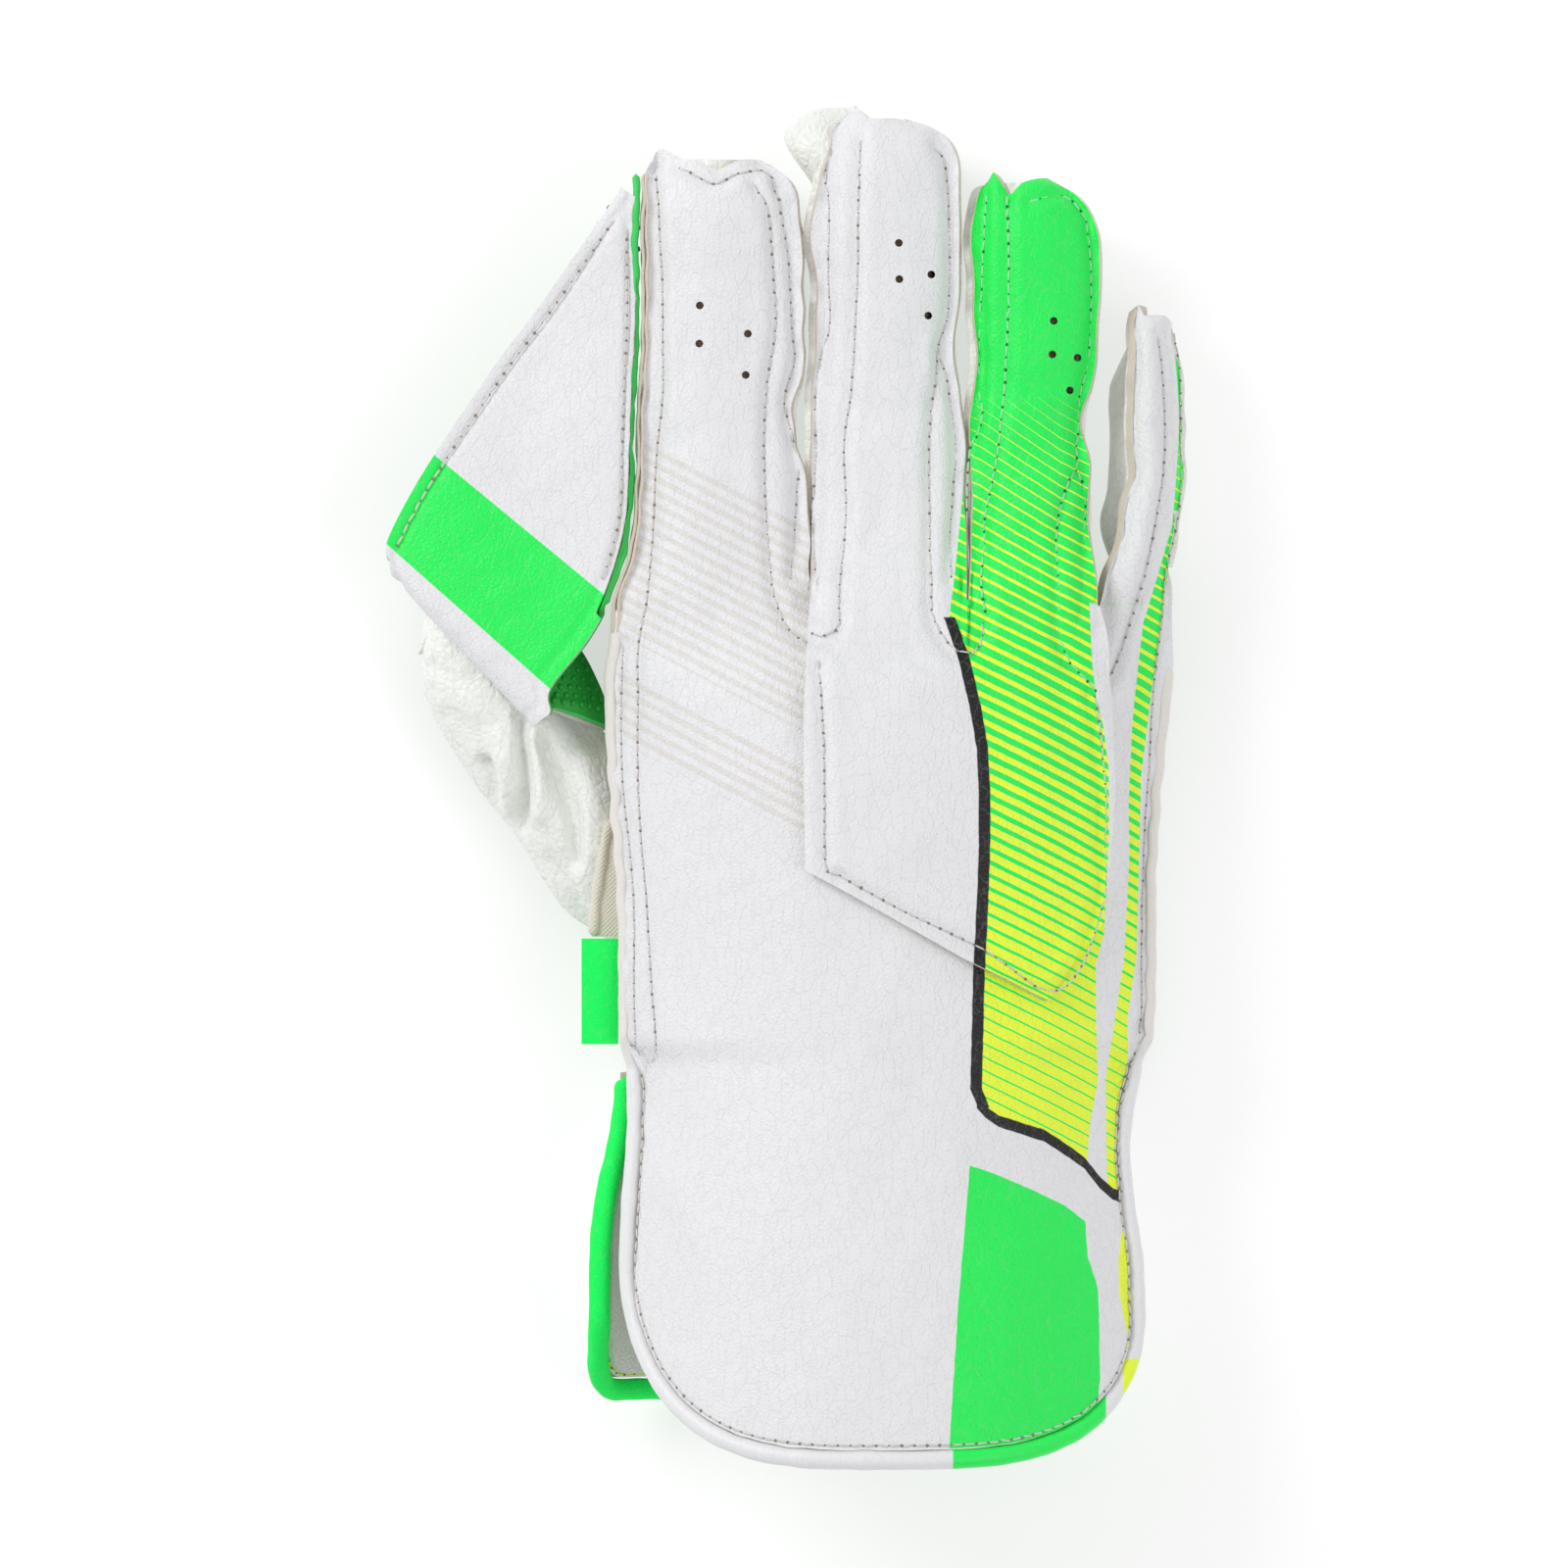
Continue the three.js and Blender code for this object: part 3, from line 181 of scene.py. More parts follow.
class GloveSizes(bpy.types.PropertyGroup):
    """Sizes of the fine detail."""

    mesh_step: length_property("Mesh step", "Distance between the points of the leather panels", 1.1)
    stitch_pitch: length_property("Stitch pitch", "Distance between the needle holes", 3.2)
    stitch_length: length_property("Stitch length", "Length of thread that shows in each stitch", 2.8)
    thread_width: length_property("Thread width", "Thickness of the sewing thread", 0.5)
    hole_size: length_property("Needle hole", "Width of a needle hole in the leather", 0.85)
    seam_depth: length_property("Seam depth", "How deep a row of stitches pulls the leather in", 0.8)
    edge_wave: length_property("Edge wave", "How far the raw edges of the seams wander", 0.55)
    pimple_pitch: length_property("Pimple pitch", "Distance between the rubber's pimples", 2.5)
    pimple_height: length_property("Pimple height", "Height of the rubber's pimples", 0.7)
    grain_size: length_property("Grain size", "Width of a pebble of the leather's grain", 1.15)


class GloveColours(bpy.types.PropertyGroup):
    """Colours of the leather, rubber, cloth and thread."""

    white: colour_property("White leather", "Coated white leather", 233, 233, 236)
    soft_white: colour_property("Soft leather", "White leather of the thumb and gussets", 241, 243, 238)
    green: colour_property("Green", "Printed green", 26, 243, 90)
    tape: colour_property("Tape", "Green tape of the binding and the tab", 26, 252, 98)
    yellow: colour_property("Yellow", "Printed yellow", 236, 255, 58)
    black: colour_property("Black", "Printed black line", 14, 13, 15)
    pale_stripe: colour_property("Pale stripe", "Faint stripes over the index finger", 218, 213, 205)
    # The palm's rubber is the same rubber as the web's, made darker so that less green light bounces onto the
    # floor
    rubber: colour_property("Rubber", "Green rubber of the palm", 12, 116, 40)
    web_rubber: colour_property("Web rubber", "Green rubber of the web", 30, 176, 60)
    rubber_edge: colour_property("Rubber edge", "Cut edge of the rubber", 60, 214, 98)
    cream: colour_property("Cream cloth", "Cloth beside the thumb", 235, 231, 214)
    raw_edge: colour_property("Raw edge", "Cut edge of the leather", 229, 218, 204)
    wadding: colour_property("Wadding", "Padding that shows in the vent holes", 176, 160, 150)
    lining: colour_property("Lining", "Towelling inside the cuff", 238, 236, 230)
    thread: colour_property("Thread", "White sewing thread", 222, 219, 215)
    green_thread: colour_property("Green thread", "Thread on the ring finger", 176, 240, 190)
    hole: colour_property("Needle hole", "Shadow of the needle holes", 142, 130, 122)
    floor: colour_property("Floor", "Pale floor", 254, 254, 254)


def mm(value):
    return value / MM


# Layout helpers
def mix(a, b, share):
    return a + (b - a) * share


def clamp01(value):
    return np.clip(value, 0, 1)


def smooth(value):
    t = clamp01(value)
    return t * t * (3 - 2 * t)


def unit(vectors):
    return vectors / (np.linalg.norm(vectors, axis=-1, keepdims=True) + 1e-12)


def hermite(t, values, slopes, row, span=1.0):
    """A smooth curve from the value of each row to that of the next, with their slopes."""
    start = (2 * t**3 - 3 * t**2 + 1) * values[row] + (t**3 - 2 * t**2 + t) * span * slopes[row]
    end = (3 * t**2 - 2 * t**3) * values[row + 1] + (t**3 - t**2) * span * slopes[row + 1]
    return start + end


def along(table, at, column):
    """A column of a table at places between its rows, eased so that no row shows as a corner."""
    places = np.asarray(table["at"], float)
    values = np.asarray(table[column], float)
    slopes = np.zeros_like(values)
    slopes[1:-1] = (values[2:] - values[:-2]) / (places[2:] - places[:-2])
    at = np.asarray(at, float)
    row = np.clip(np.searchsorted(places, at, side="left") - 1, 0, len(places) - 2)
    span = places[row + 1] - places[row]
    return hermite(clamp01((at - places[row]) / span), values, slopes, row, span)


class Finger:
    """One finger's back: its place at the knuckles, its outline and its depth."""

    def __init__(self, left, width, length, depth, tilt, outline):
        self.left = left
        self.width = width
        self.length = length
        self.depth = depth
        self.tilt = tilt
        self.outline = outline

    def edge(self, side, share):
        return self.left + self.width * along(self.outline, share, side)

    def across(self, x, share):
        """How far across the finger x is, from -1 to 1, at a share of the finger's length."""
        left, right = self.edge("left", share), self.edge("right", share)
        return 2 * (x - left) / (right - left) - 1


INDEX = Finger(HAND_LEFT_X, 50.2, 114.5, 31, 0, INDEX_OUTLINE)
MIDDLE = Finger(INDEX.left + INDEX.width + 0.6, 39.4, 125, 31, 0, MIDDLE_OUTLINE)
RING = Finger(MIDDLE.left + MIDDLE.width + 0.6, 31.2, 108.5, 31, 0, RING_OUTLINE)
LITTLE = Finger(RING.left + RING.width + 5.6, 16, 75, 28, LITTLE_TILT, LITTLE_OUTLINE)
FINGERS = (INDEX, MIDDLE, RING, LITTLE)
CROTCH_FILLS = {
    INDEX: (0, 0.5, 76),
    MIDDLE: (-0.5, 0.5, 76),
    RING: (-0.6, 1.8, 68),
    LITTLE: (-3.6, 0, 68),
}
KNUCKLE_WIDTH = LITTLE.left + LITTLE.width - HAND_LEFT_X


def hand_share(y):
    return clamp01((CROTCH_Y - y) / HAND_LENGTH)


def hand_edge(side, y):
    return HAND_LEFT_X + KNUCKLE_WIDTH * along(HAND_SECTIONS, hand_share(y), side)


def hand_height(column, y):
    return HAND_DEPTH * along(HAND_SECTIONS, hand_share(y), column)


def palm_lift(y):
    return 6 * np.exp(-(((y - 35) / 45) ** 2))


def roll_room(y):
    return (2 * BACK_ROLL[0] + CLEARANCE) * smooth((BACK_BINDING_TOP - y) / 8 + 1.5)


def cuff_end(share):
    """Where the back cuff ends, for shares across the hand."""
    across = 2 * np.asarray(share, float) - 1
    corner = np.where(across < 0, *CUFF_CORNER_HEIGHTS)
    power = np.where(across < 0, *CUFF_CORNER_POWERS)
    end = CROTCH_Y - HAND_LENGTH
    return end + roll_room(end) + corner * (1 - np.sqrt(1 - np.minimum(1, np.abs(across)) ** power))


def hand_run(y, share):
    """The run of a place on the hand, from the cuff's end (0) to the crotch (1)."""
    end = cuff_end(share)
    return (y - end) / (CROTCH_Y - end)


def finger_at(share):
    """The finger above a share of the hand's width, and how far across that finger it lies."""
    x = HAND_LEFT_X + share * KNUCKLE_WIDTH
    finger = [f for f in FINGERS if f.left <= x + 1e-6][-1]
    return finger, 2 * (x - finger.left) / finger.width - 1


def back_height(finger, across, share, y):
    """Height of the outside of the back, between the hand's arch and the finger's own."""
    seams = mix(hand_height("left_seam", y), hand_height("right_seam", y), share)
    arch = seams + hand_height("crown", y) * (1 - np.abs(2 * share - 1) ** ARCH_POWER)
    crown = FINGER_CROWN * np.maximum(0, 1 - (np.abs(across) / 0.88) ** 2.4)
    tip = clamp01(((y - CROTCH_Y) / finger.length - 0.86) / 0.14)
    top = palm_lift(y) + finger.depth + crown - finger.tilt * (across + 1) / 2 - FINGERTIP_DROP * tip**2
    return mix(arch, top, smooth((y - CROTCH_Y + KNUCKLE_BLEND) / 40))


def share_of(finger, across):
    return (finger.left + (across + 1) / 2 * finger.width - HAND_LEFT_X) / KNUCKLE_WIDTH


def points(x, y, z):
    return np.stack(np.broadcast_arrays(x, y, z), axis=-1).astype(float)


def hand_edges(y):
    """The back's two side edges, drawn in where the cuff's roll goes round them."""
    return hand_edge("left", y) + roll_room(y), hand_edge("right", y) - roll_room(y)


def hand_point(finger, across, y):
    """Points of the back between the cuff's end and the crotches."""
    across, y = np.broadcast_arrays(np.asarray(across, float), np.asarray(y, float))
    share = share_of(finger, across)
    return points(mix(*hand_edges(y), share), y, back_height(finger, across, share, y))


def back_point(finger, across, run):
    """Points of the back: run goes from the cuff's end (0) to the crotch (1) to the fingertip (2)."""
    across, run = np.broadcast_arrays(np.asarray(across, float), np.asarray(run, float))
    share = share_of(finger, across)
    on_hand = hand_point(finger, across, mix(cuff_end(clamp01(share)), CROTCH_Y, run))
    along_finger = np.maximum(run - 1, 0)
    y = CROTCH_Y + along_finger * finger.length
    x = mix(finger.edge("left", along_finger), finger.edge("right", along_finger), (across + 1) / 2)
    on_finger = points(x, y, back_height(finger, across, share, y))
    return np.where((run <= 1)[..., None], on_hand, on_finger)


def surface_normal(surface, u, v, u_step=0.02, v_step=0.01):
    """Unit normals of a surface of two values, turned upwards."""
    along_u = surface(u + u_step, v) - surface(u - u_step, v)
    along_v = surface(u, v + v_step) - surface(u, v - v_step)
    normal = unit(np.cross(along_u, along_v))
    return np.where(normal[..., 2:] < 0, -normal, normal)


def back_normal(finger, across, run):
    across, run = np.broadcast_arrays(np.clip(across, -0.98, 0.98), np.maximum(0.02, run))
    y = back_point(finger, across, run)[..., 1]
    on_hand = surface_normal(lambda a, b: hand_point(finger, a, b), across, y, v_step=2.0)
    on_finger = surface_normal(lambda a, b: back_point(finger, a, b), across, run)
    return np.where((run <= 1)[..., None], on_hand, on_finger)


def with_ear(place, across, run):
    """Runs the seam allowance of a fingertip up into a small pointed ear."""
    ear = SEAM_EAR * smooth((run - 1.96) / 0.04) * np.maximum(0, 1 - np.abs(across + 0.8) / 0.4)
    place[..., 1] += ear
    return place


# Noise made from a few waves, so that it is the same each time
def ripple(x, y, wavelength, seed):
    """A smooth wandering value from about -1 to 1."""
    random = np.random.default_rng(seed)
    total = np.zeros(np.broadcast(x, y).shape)
    for _ in range(5):
        angle = random.uniform(0, 2 * math.pi)
        scale = 2 * math.pi / (wavelength * random.uniform(0.7, 1.5))
        phase = random.uniform(0, 2 * math.pi)
        total = total + np.sin(scale * (x * math.cos(angle) + y * math.sin(angle)) + phase)
    return total / 3


def distance_to(line, x, y):
    """Distance from points to a line of (x, y) corners."""
    nearest = np.full(np.broadcast(x, y).shape, 1e9)
    for (ax, ay), (bx, by) in zip(line[:-1], line[1:]):
        span = max((bx - ax) ** 2 + (by - ay) ** 2, 1e-9)
        t = clamp01(((x - ax) * (bx - ax) + (y - ay) * (by - ay)) / span)
        nearest = np.minimum(nearest, np.hypot(x - ax - t * (bx - ax), y - ay - t * (by - ay)))
    return nearest


def refine(grid, times, axis=0):
    """More points between those of a line or grid, on smooth curves through them."""
    grid = np.moveaxis(np.asarray(grid, float), axis, 0)
    at = np.linspace(0, len(grid) - 1, (len(grid) - 1) * times + 1)
    row = np.clip(at.astype(int), 0, len(grid) - 2)
    t = (at - row).reshape(-1, *[1] * (grid.ndim - 1))
    return np.moveaxis(hermite(t, grid, np.gradient(grid, axis=0), row), 0, axis)


# The frame's solids lie where the layout's do, after one shift
def layout_shift():
    low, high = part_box("side_tag")
    shift_x = mm(high.x) - (hand_edge("left", TAG_Y) - CLEARANCE)
    shift_y = mm((low.y + high.y) / 2) - TAG_Y
    return np.array((float(shift_x), shift_y, 0.0))


SHIFT = layout_shift()


def to_frame(place):
    return (np.asarray(place, float).reshape(-1, 3) + SHIFT) * MM


# Mesh helpers
ROLL_SIDES = 14
ROLL_END = 0.12
SMALL_SIDES = 6
HALF_STITCH = ((1, 0.25, -0.5), (0.75, 0.85, 0.1), (0.3, 1, 0.42))
PIMPLE_RINGS = ((1, -0.35), (0.86, 0.45), (0.5, 0.88))
# Needle holes are small dark discs standing on the leather: painted shadow of the holes
HOLE_SPREAD = (0.55, 1.15)
HOLE_HEIGHT = 0.16


def make_piece(name, place, faces, materials, face_materials=None, smooth_faces=True):
    """A mesh object from layout points and faces."""
    mesh = bpy.data.meshes.new(name)
    mesh.from_pydata(to_frame(place).tolist(), [], faces)
    for material in materials:
        mesh.materials.append(material)
    if face_materials is not None:
        mesh.polygons.foreach_set("material_index", np.asarray(face_materials, np.int32))
    mesh.polygons.foreach_set("use_smooth", np.full(len(mesh.polygons), smooth_faces))
    mesh.update()
    piece = bpy.data.objects.new(name, mesh)
    bpy.context.scene.collection.objects.link(piece)
    return piece


def shell(name, outer, inner, materials, has=None):
    """A closed sheet from grids of outer and inner points. The cut edge takes the second material."""
    rows, columns = outer.shape[:2]
    present = np.ones((rows - 1, columns - 1), bool) if has is None else has
    padded = np.pad(present, 1)
    index = np.arange(rows * columns).reshape(rows, columns)
    back = index + rows * columns
    a, b, c, d = index[:-1, :-1], index[:-1, 1:], index[1:, 1:], index[1:, :-1]
    e, f, g, h = back[:-1, :-1], back[:-1, 1:], back[1:, 1:], back[1:, :-1]
    outside = np.stack([a, b, c, d], -1)[present]
    inside = np.stack([e, h, g, f], -1)[present]
    rims = [
        np.stack([b, a, e, f], -1)[present & ~padded[:-2, 1:-1]],
        np.stack([c, b, f, g], -1)[present & ~padded[1:-1, 2:]],
        np.stack([d, c, g, h], -1)[present & ~padded[2:, 1:-1]],
        np.stack([a, d, h, e], -1)[present & ~padded[1:-1, :-2]],
    ]
    faces = np.concatenate([outside, inside, *rims])
    kinds = np.zeros(len(faces), np.int32)
    kinds[len(outside) + len(inside) :] = min(1, len(materials) - 1)
    place = np.concatenate([outer.reshape(-1, 3), inner.reshape(-1, 3)])
    used, renumbered = np.unique(faces, return_inverse=True)
    faces = renumbered.reshape(faces.shape)
    piece = make_piece(name, place[used], faces.tolist(), materials, kinds)
    sharpen_rims(piece, len(outside) + len(inside))
    turn_outwards(piece)
    return piece


def sharpen_rims(piece, first_rim):
    """Marks the edges between a sheet's faces and its cut edge as sharp."""
    mesh = piece.data
    rim_edges = set()
    flat_edges = set()
    for polygon in mesh.polygons:
        target = rim_edges if polygon.index >= first_rim else flat_edges
        target.update(polygon.edge_keys)
    keys = rim_edges & flat_edges
    attribute = mesh.attributes.new("sharp_edge", "BOOLEAN", "EDGE")
    flags = [edge.key in keys for edge in mesh.edges]
    attribute.data.foreach_set("value", flags)


def turn_outwards(piece):
    """Flips a closed mesh whose faces point inwards."""
    mesh = piece.data
    mesh.calc_loop_triangles()
    corners = np.zeros(len(mesh.loop_triangles) * 3, np.int32)
    mesh.loop_triangles.foreach_get("vertices", corners)
    place = np.zeros(len(mesh.vertices) * 3)
    mesh.vertices.foreach_get("co", place)
    a, b, c = np.moveaxis(place.reshape(-1, 3)[corners.reshape(-1, 3)], 1, 0)
    if np.einsum("ij,ij->", a, np.cross(b, c)) < 0:
        mesh.flip_normals()


def tube_faces(rings, sides):
    """The faces round a tube of rings of points, with its first end closed."""
    faces = [tuple(reversed(range(sides)))]
    for low in range(0, (rings - 1) * sides, sides):
        for k in range(sides):
            following = (k + 1) % sides
            faces.append((low + k, low + following, low + sides + following, low + sides + k))
    return faces


def closed_tube_faces(rings, sides):
    return tube_faces(rings, sides) + [tuple(range((rings - 1) * sides, rings * sides))]


def repeated(faces, count, size):
    """The faces of one small form, for each of many whose points follow one another."""
    starts = range(0, count * size, size)
    return [tuple(start + corner for corner in face) for start in starts for face in faces]


def circle(sides):
    """Cosines and sines of the corners of a ring."""
    angle = 2 * math.pi * np.arange(sides)[:, None] / sides
    return np.cos(angle), np.sin(angle)


def run_along(line):
    """The distance along a line to each of its points."""
    return np.concatenate([[0], np.cumsum(np.linalg.norm(np.diff(line, axis=0), axis=1))])


def read_along(line, distance, at):
    """The points of a line at given distances along it."""
    return np.stack([np.interp(at, distance, line[:, axis]) for axis in range(3)], -1)


def roll(name, centres, side, up, width, height, materials, lumps=0.0):
    """A padded roll along centres, rounded at both ends. Width and height may vary along it."""
    count = len(centres)
    across, above = circle(ROLL_SIDES)
    distance = run_along(centres)
    near_end = clamp01(np.minimum(distance, distance[-1] - distance) / width)
    taper = np.maximum(np.sqrt(near_end * (2 - near_end)), ROLL_END)[:, None, None]
    width, height = (np.broadcast_to(size, count)[:, None, None] for size in (width, height))
    swell = 1 + lumps * ripple(distance, distance * 0, 9, 11)[:, None, None]
    offset = side[:, None] * width * across + up[:, None] * height * above
    rings = centres[:, None] + offset * taper * swell
    piece = make_piece(name, rings, closed_tube_faces(count, ROLL_SIDES), materials)
    turn_outwards(piece)
    return piece


def sideways(centres, normals):
    """The directions to the side of a line on a surface."""
    tangent = unit(np.gradient(centres, axis=0))
    return unit(np.cross(tangent, normals))


def spaced(line, pitch):
    """Points at an even pitch along a line, with their directions."""
    distance = run_along(line)
    count = max(2, int(distance[-1] / pitch))
    at = (np.arange(count) + 0.5) * distance[-1] / count
    direction = read_along(line, distance, at + 0.4) - read_along(line, distance, at - 0.4)
    return read_along(line, distance, at), unit(direction)


def nearest_normals(places, line, normals):
    return normals[np.linalg.norm(line[None] - places[:, None], axis=2).argmin(axis=1)]


def stitch_mesh(lines, sizes, seed):
    """Points and faces of the stitches along lines, each given with its normals."""
    random = np.random.default_rng(seed)
    half = mm(sizes.stitch_length) / 2
    width = mm(sizes.thread_width) / 2
    stations = [(-reach, thick, lift) for reach, thick, lift in HALF_STITCH]
    stations += reversed(HALF_STITCH)
    reach, thick, lift = np.array(stations).T[..., None, None]
    across, above = circle(SMALL_SIDES)
    stitches = []
    for line, normals in lines:
        middle, ahead = spaced(line, mm(sizes.stitch_pitch))
        up = nearest_normals(middle, line, normals)
        side = unit(np.cross(ahead, up))
        lean = random.normal(0, 0.1, (len(middle), 1, 1, 1))
        middle, ahead, up, side = (each[:, None, None] for each in (middle, ahead, up, side))
        centre = middle + ahead * half * reach + side * half * reach * lean + up * width * lift
        stitches.append(centre + width * thick * (side * across + up * above))
    place = np.concatenate(stitches)
    faces = closed_tube_faces(len(stations), SMALL_SIDES)
    return place.reshape(-1, 3), repeated(faces, len(place), len(stations) * SMALL_SIDES)


def pimple_mesh(places, normals, radius, height):
    """Points and faces of small rounded pimples standing on a surface."""
    across, above = circle(SMALL_SIDES)
    tangent = unit(np.cross(normals, np.array((0.31, 0.95, 0.05))))
    around = tangent[:, None] * across + np.cross(normals, tangent)[:, None] * above
    radius = np.broadcast_to(radius, len(places))[:, None, None]
    rings = [
        places[:, None] + around * radius * wide + normals[:, None] * height * high
        for wide, high in PIMPLE_RINGS
    ]
    tops = (places + normals * height)[:, None]
    vertices = np.concatenate([*rings, tops], axis=1)
    top = len(rings) * SMALL_SIDES
    last = top - SMALL_SIDES
    fan = [(last + k, last + (k + 1) % SMALL_SIDES, top) for k in range(SMALL_SIDES)]
    faces = tube_faces(len(rings), SMALL_SIDES) + fan
    return vertices.reshape(-1, 3), repeated(faces, len(places), top + 1)


def make_pimples(name, places, normals, radius, height, material, slot):
    """Pimples standing on a surface, as one piece."""
    settle(make_piece(name, *pimple_mesh(places, normals, radius, height), [material]), slot)


def make_stitches(name, lines, materials, sizes, seed, slot):
    """Stitches along lines, with a needle hole between each pair drawn as a small dark disc of painted shadow.
    """
    place, faces = stitch_mesh(lines, sizes, seed)
    settle(make_piece(name, place, faces, materials[:1]), slot)
    holes = [needle_holes(line, normals, mm(sizes.stitch_pitch)) for line, normals in lines]
    places, ways = (np.concatenate(parts) for parts in zip(*holes))
    radius = np.random.default_rng(seed).uniform(*HOLE_SPREAD, len(places)) * mm(sizes.hole_size) / 2
    # The discs take the hole material, the painted shadow of each needle hole
    make_pimples(name + "_holes", places, ways, radius, HOLE_HEIGHT, materials[1], slot)


def needle_holes(line, normals, pitch):
    """Places and normals half way between the stitches of a line."""
    middle, direction = spaced(line, pitch)
    up = nearest_normals(middle, line, normals)
    step = np.linalg.norm(middle[1] - middle[0])
    return middle + direction * step / 2 + up * 0.05, up


def settle(piece, slot, *nodes):
    """Rides the piece on the one body and hides the solids it stands for. Its slot is not used."""
    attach(piece, "root")
    if nodes:
        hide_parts(*nodes)
    return piece


# Shader helpers
# Grey painted into the creases of the leather's grain as painted shade
CREASE_SHADE = (0.42, 0.41, 0.4)


class Value:
    """A socket whose number can be worked with in an expression."""

    def __init__(self, graph, socket):
        self.graph = graph
        self.socket = socket

    def maths(self, operation, *values):
        return self.graph.node("ShaderNodeMath", {"operation": operation}, dict(enumerate(values)))

    def __add__(self, other):
        return self.maths("ADD", self, other)

    def __sub__(self, other):
        return self.maths("SUBTRACT", self, other)

    def __rsub__(self, other):
        return self.maths("SUBTRACT", other, self)

    def __mul__(self, other):
        return self.maths("MULTIPLY", self, other)

    def __truediv__(self, other):
        return self.maths("DIVIDE", self, other)

    def __lt__(self, other):
        return self.maths("LESS_THAN", self, other)

    __radd__ = __add__
    __rmul__ = __mul__

    def absolute(self):
        return self.maths("ABSOLUTE", self)

    def fraction(self):
        return self.maths("FRACT", self)

    def at_least(self, other):
        return self.maths("MAXIMUM", self, other)

    def at_most(self, other):
        return self.maths("MINIMUM", self, other)

    def sine(self):
        return self.maths("SINE", self)

    def output(self, name):
        """Another output of the same node."""
        return Value(self.graph, self.socket.node.outputs[name])


class Graph:
    """A material's nodes, with its Principled shader."""

    def __init__(self, name):
        self.material = bpy.data.materials.new(name)
        self.material.use_nodes = True
        self.tree = self.material.node_tree
        self.shader = self.tree.nodes["Principled BSDF"]

    def node(self, kind, settings, sockets, output=0):
        """Adds a node from its type, its settings and the values or links of its sockets."""
        node = self.tree.nodes.new(kind)
        for name, value in settings.items():
            if name == "curve":
                self.set_curve(node, value)
            else:
                setattr(node, name, value)
        for name, value in sockets.items():
            self.feed(node.inputs[name], value)
        return Value(self, node.outputs[output])

    def feed(self, socket, value):
        if isinstance(value, Value):
            self.tree.links.new(value.socket, socket)
        else:
            socket.default_value = value

    def set_curve(self, node, corners):
        curve = node.mapping.curves[0]
        for x, y in corners[2:]:
            curve.points.new(x, y)
        for point, (x, y) in zip(curve.points, sorted(corners)):
            point.location = (x, y)
            point.handle_type = "VECTOR"
        node.mapping.use_clip = False
        node.mapping.update()

    def surface(self, name, value):
        self.feed(self.shader.inputs[name], value)

    def vector(self, operation, sockets):
        return self.node("ShaderNodeVectorMath", {"operation": operation}, sockets, "Vector")

    def object_point(self):
        return self.node("ShaderNodeTexCoord", {}, {}, "Object")

    def parts(self, point, output="X"):
        return self.node("ShaderNodeSeparateXYZ", {}, {"Vector": point}, output)

    def layout(self):
        """The place on the glove in layout millimetres, as two values and the point itself."""
        point = self.vector("SCALE", {"Vector": self.object_point(), "Scale": 1 / MM})
        parts = self.parts(point)
        return parts - float(SHIFT[0]), parts.output("Y") - float(SHIFT[1]), point

    def step(self, value, edge, softness=0.12):
        """0 below an edge and 1 above it."""
        return self.node(
            "ShaderNodeMapRange",
            {"clamp": True},
            {"Value": value - edge, "From Min": -softness, "From Max": softness},
        )

    def before(self, value, edge, softness=0.12):
        """1 below an edge and 0 above it."""
        return 1 - self.step(value, edge, softness)

    def between(self, value, low, high, softness=0.12):
        """1 between two edges and 0 outside them."""
        return self.step(value, low, softness) * self.before(value, high, softness)

    def line(self, value, corners):
        """The height of a line of (value, height) corners at a value, in millimetres."""
        low = min(c[0] for c in corners)
        high = max(c[0] for c in corners)
        bottom = min(c[1] for c in corners) - 1
        top = max(c[1] for c in corners) + 1
        scaled = sorted(((a - low) / (high - low), (b - bottom) / (top - bottom)) for a, b in corners)
        share = ((value - low) / (high - low)).at_least(0.0).at_most(1.0)
        height = self.node("ShaderNodeFloatCurve", {"curve": scaled}, {"Value": share})
        return height * (top - bottom) + bottom

    def paint(self, mask, under, over):
        """One colour over another where the mask is 1."""
        return self.node("ShaderNodeMix", {"data_type": "RGBA"}, {"Factor": mask, 6: under, 7: over}, 2)

    def noise(self, point, scale, detail=2.0, roughness=0.5):
        sockets = {"Vector": point, "Scale": scale, "Detail": detail, "Roughness": roughness}
        return self.node("ShaderNodeTexNoise", {}, sockets)

    def cells(self, point, scale, feature="DISTANCE_TO_EDGE"):
        return self.node("ShaderNodeTexVoronoi", {"feature": feature}, {"Vector": point, "Scale": scale})

    def bump(self, height, distance):
        sockets = {"Height": height, "Distance": distance, "Strength": 1.0}
        self.surface("Normal", self.node("ShaderNodeBump", {}, sockets))


def rgba(colour, share=1.0):
    return (*[c * share for c in colour], 1.0)


def grain_height(graph, point, grain):
    """Pebbled leather: soft pebbles crossed by longer creases."""
    wander = graph.noise(point, 0.16, 3.0).output("Color")
    warped = graph.vector("ADD", {0: point, 1: graph.vector("SCALE", {"Vector": wander, "Scale": 2.2})})
    rounded = graph.cells(warped, 1 / grain).at_most(0.32) * 3.1
    longer = graph.node("ShaderNodeMapping", {}, {"Vector": warped, "Scale": (0.42, 0.2, 0.42)})
    crease = graph.cells(longer, 1 / grain).at_most(0.1) * 10.0
    fine = graph.noise(point, 2.4, 2.0)
    return rounded * 0.42 + crease * 0.3 + fine * 0.25


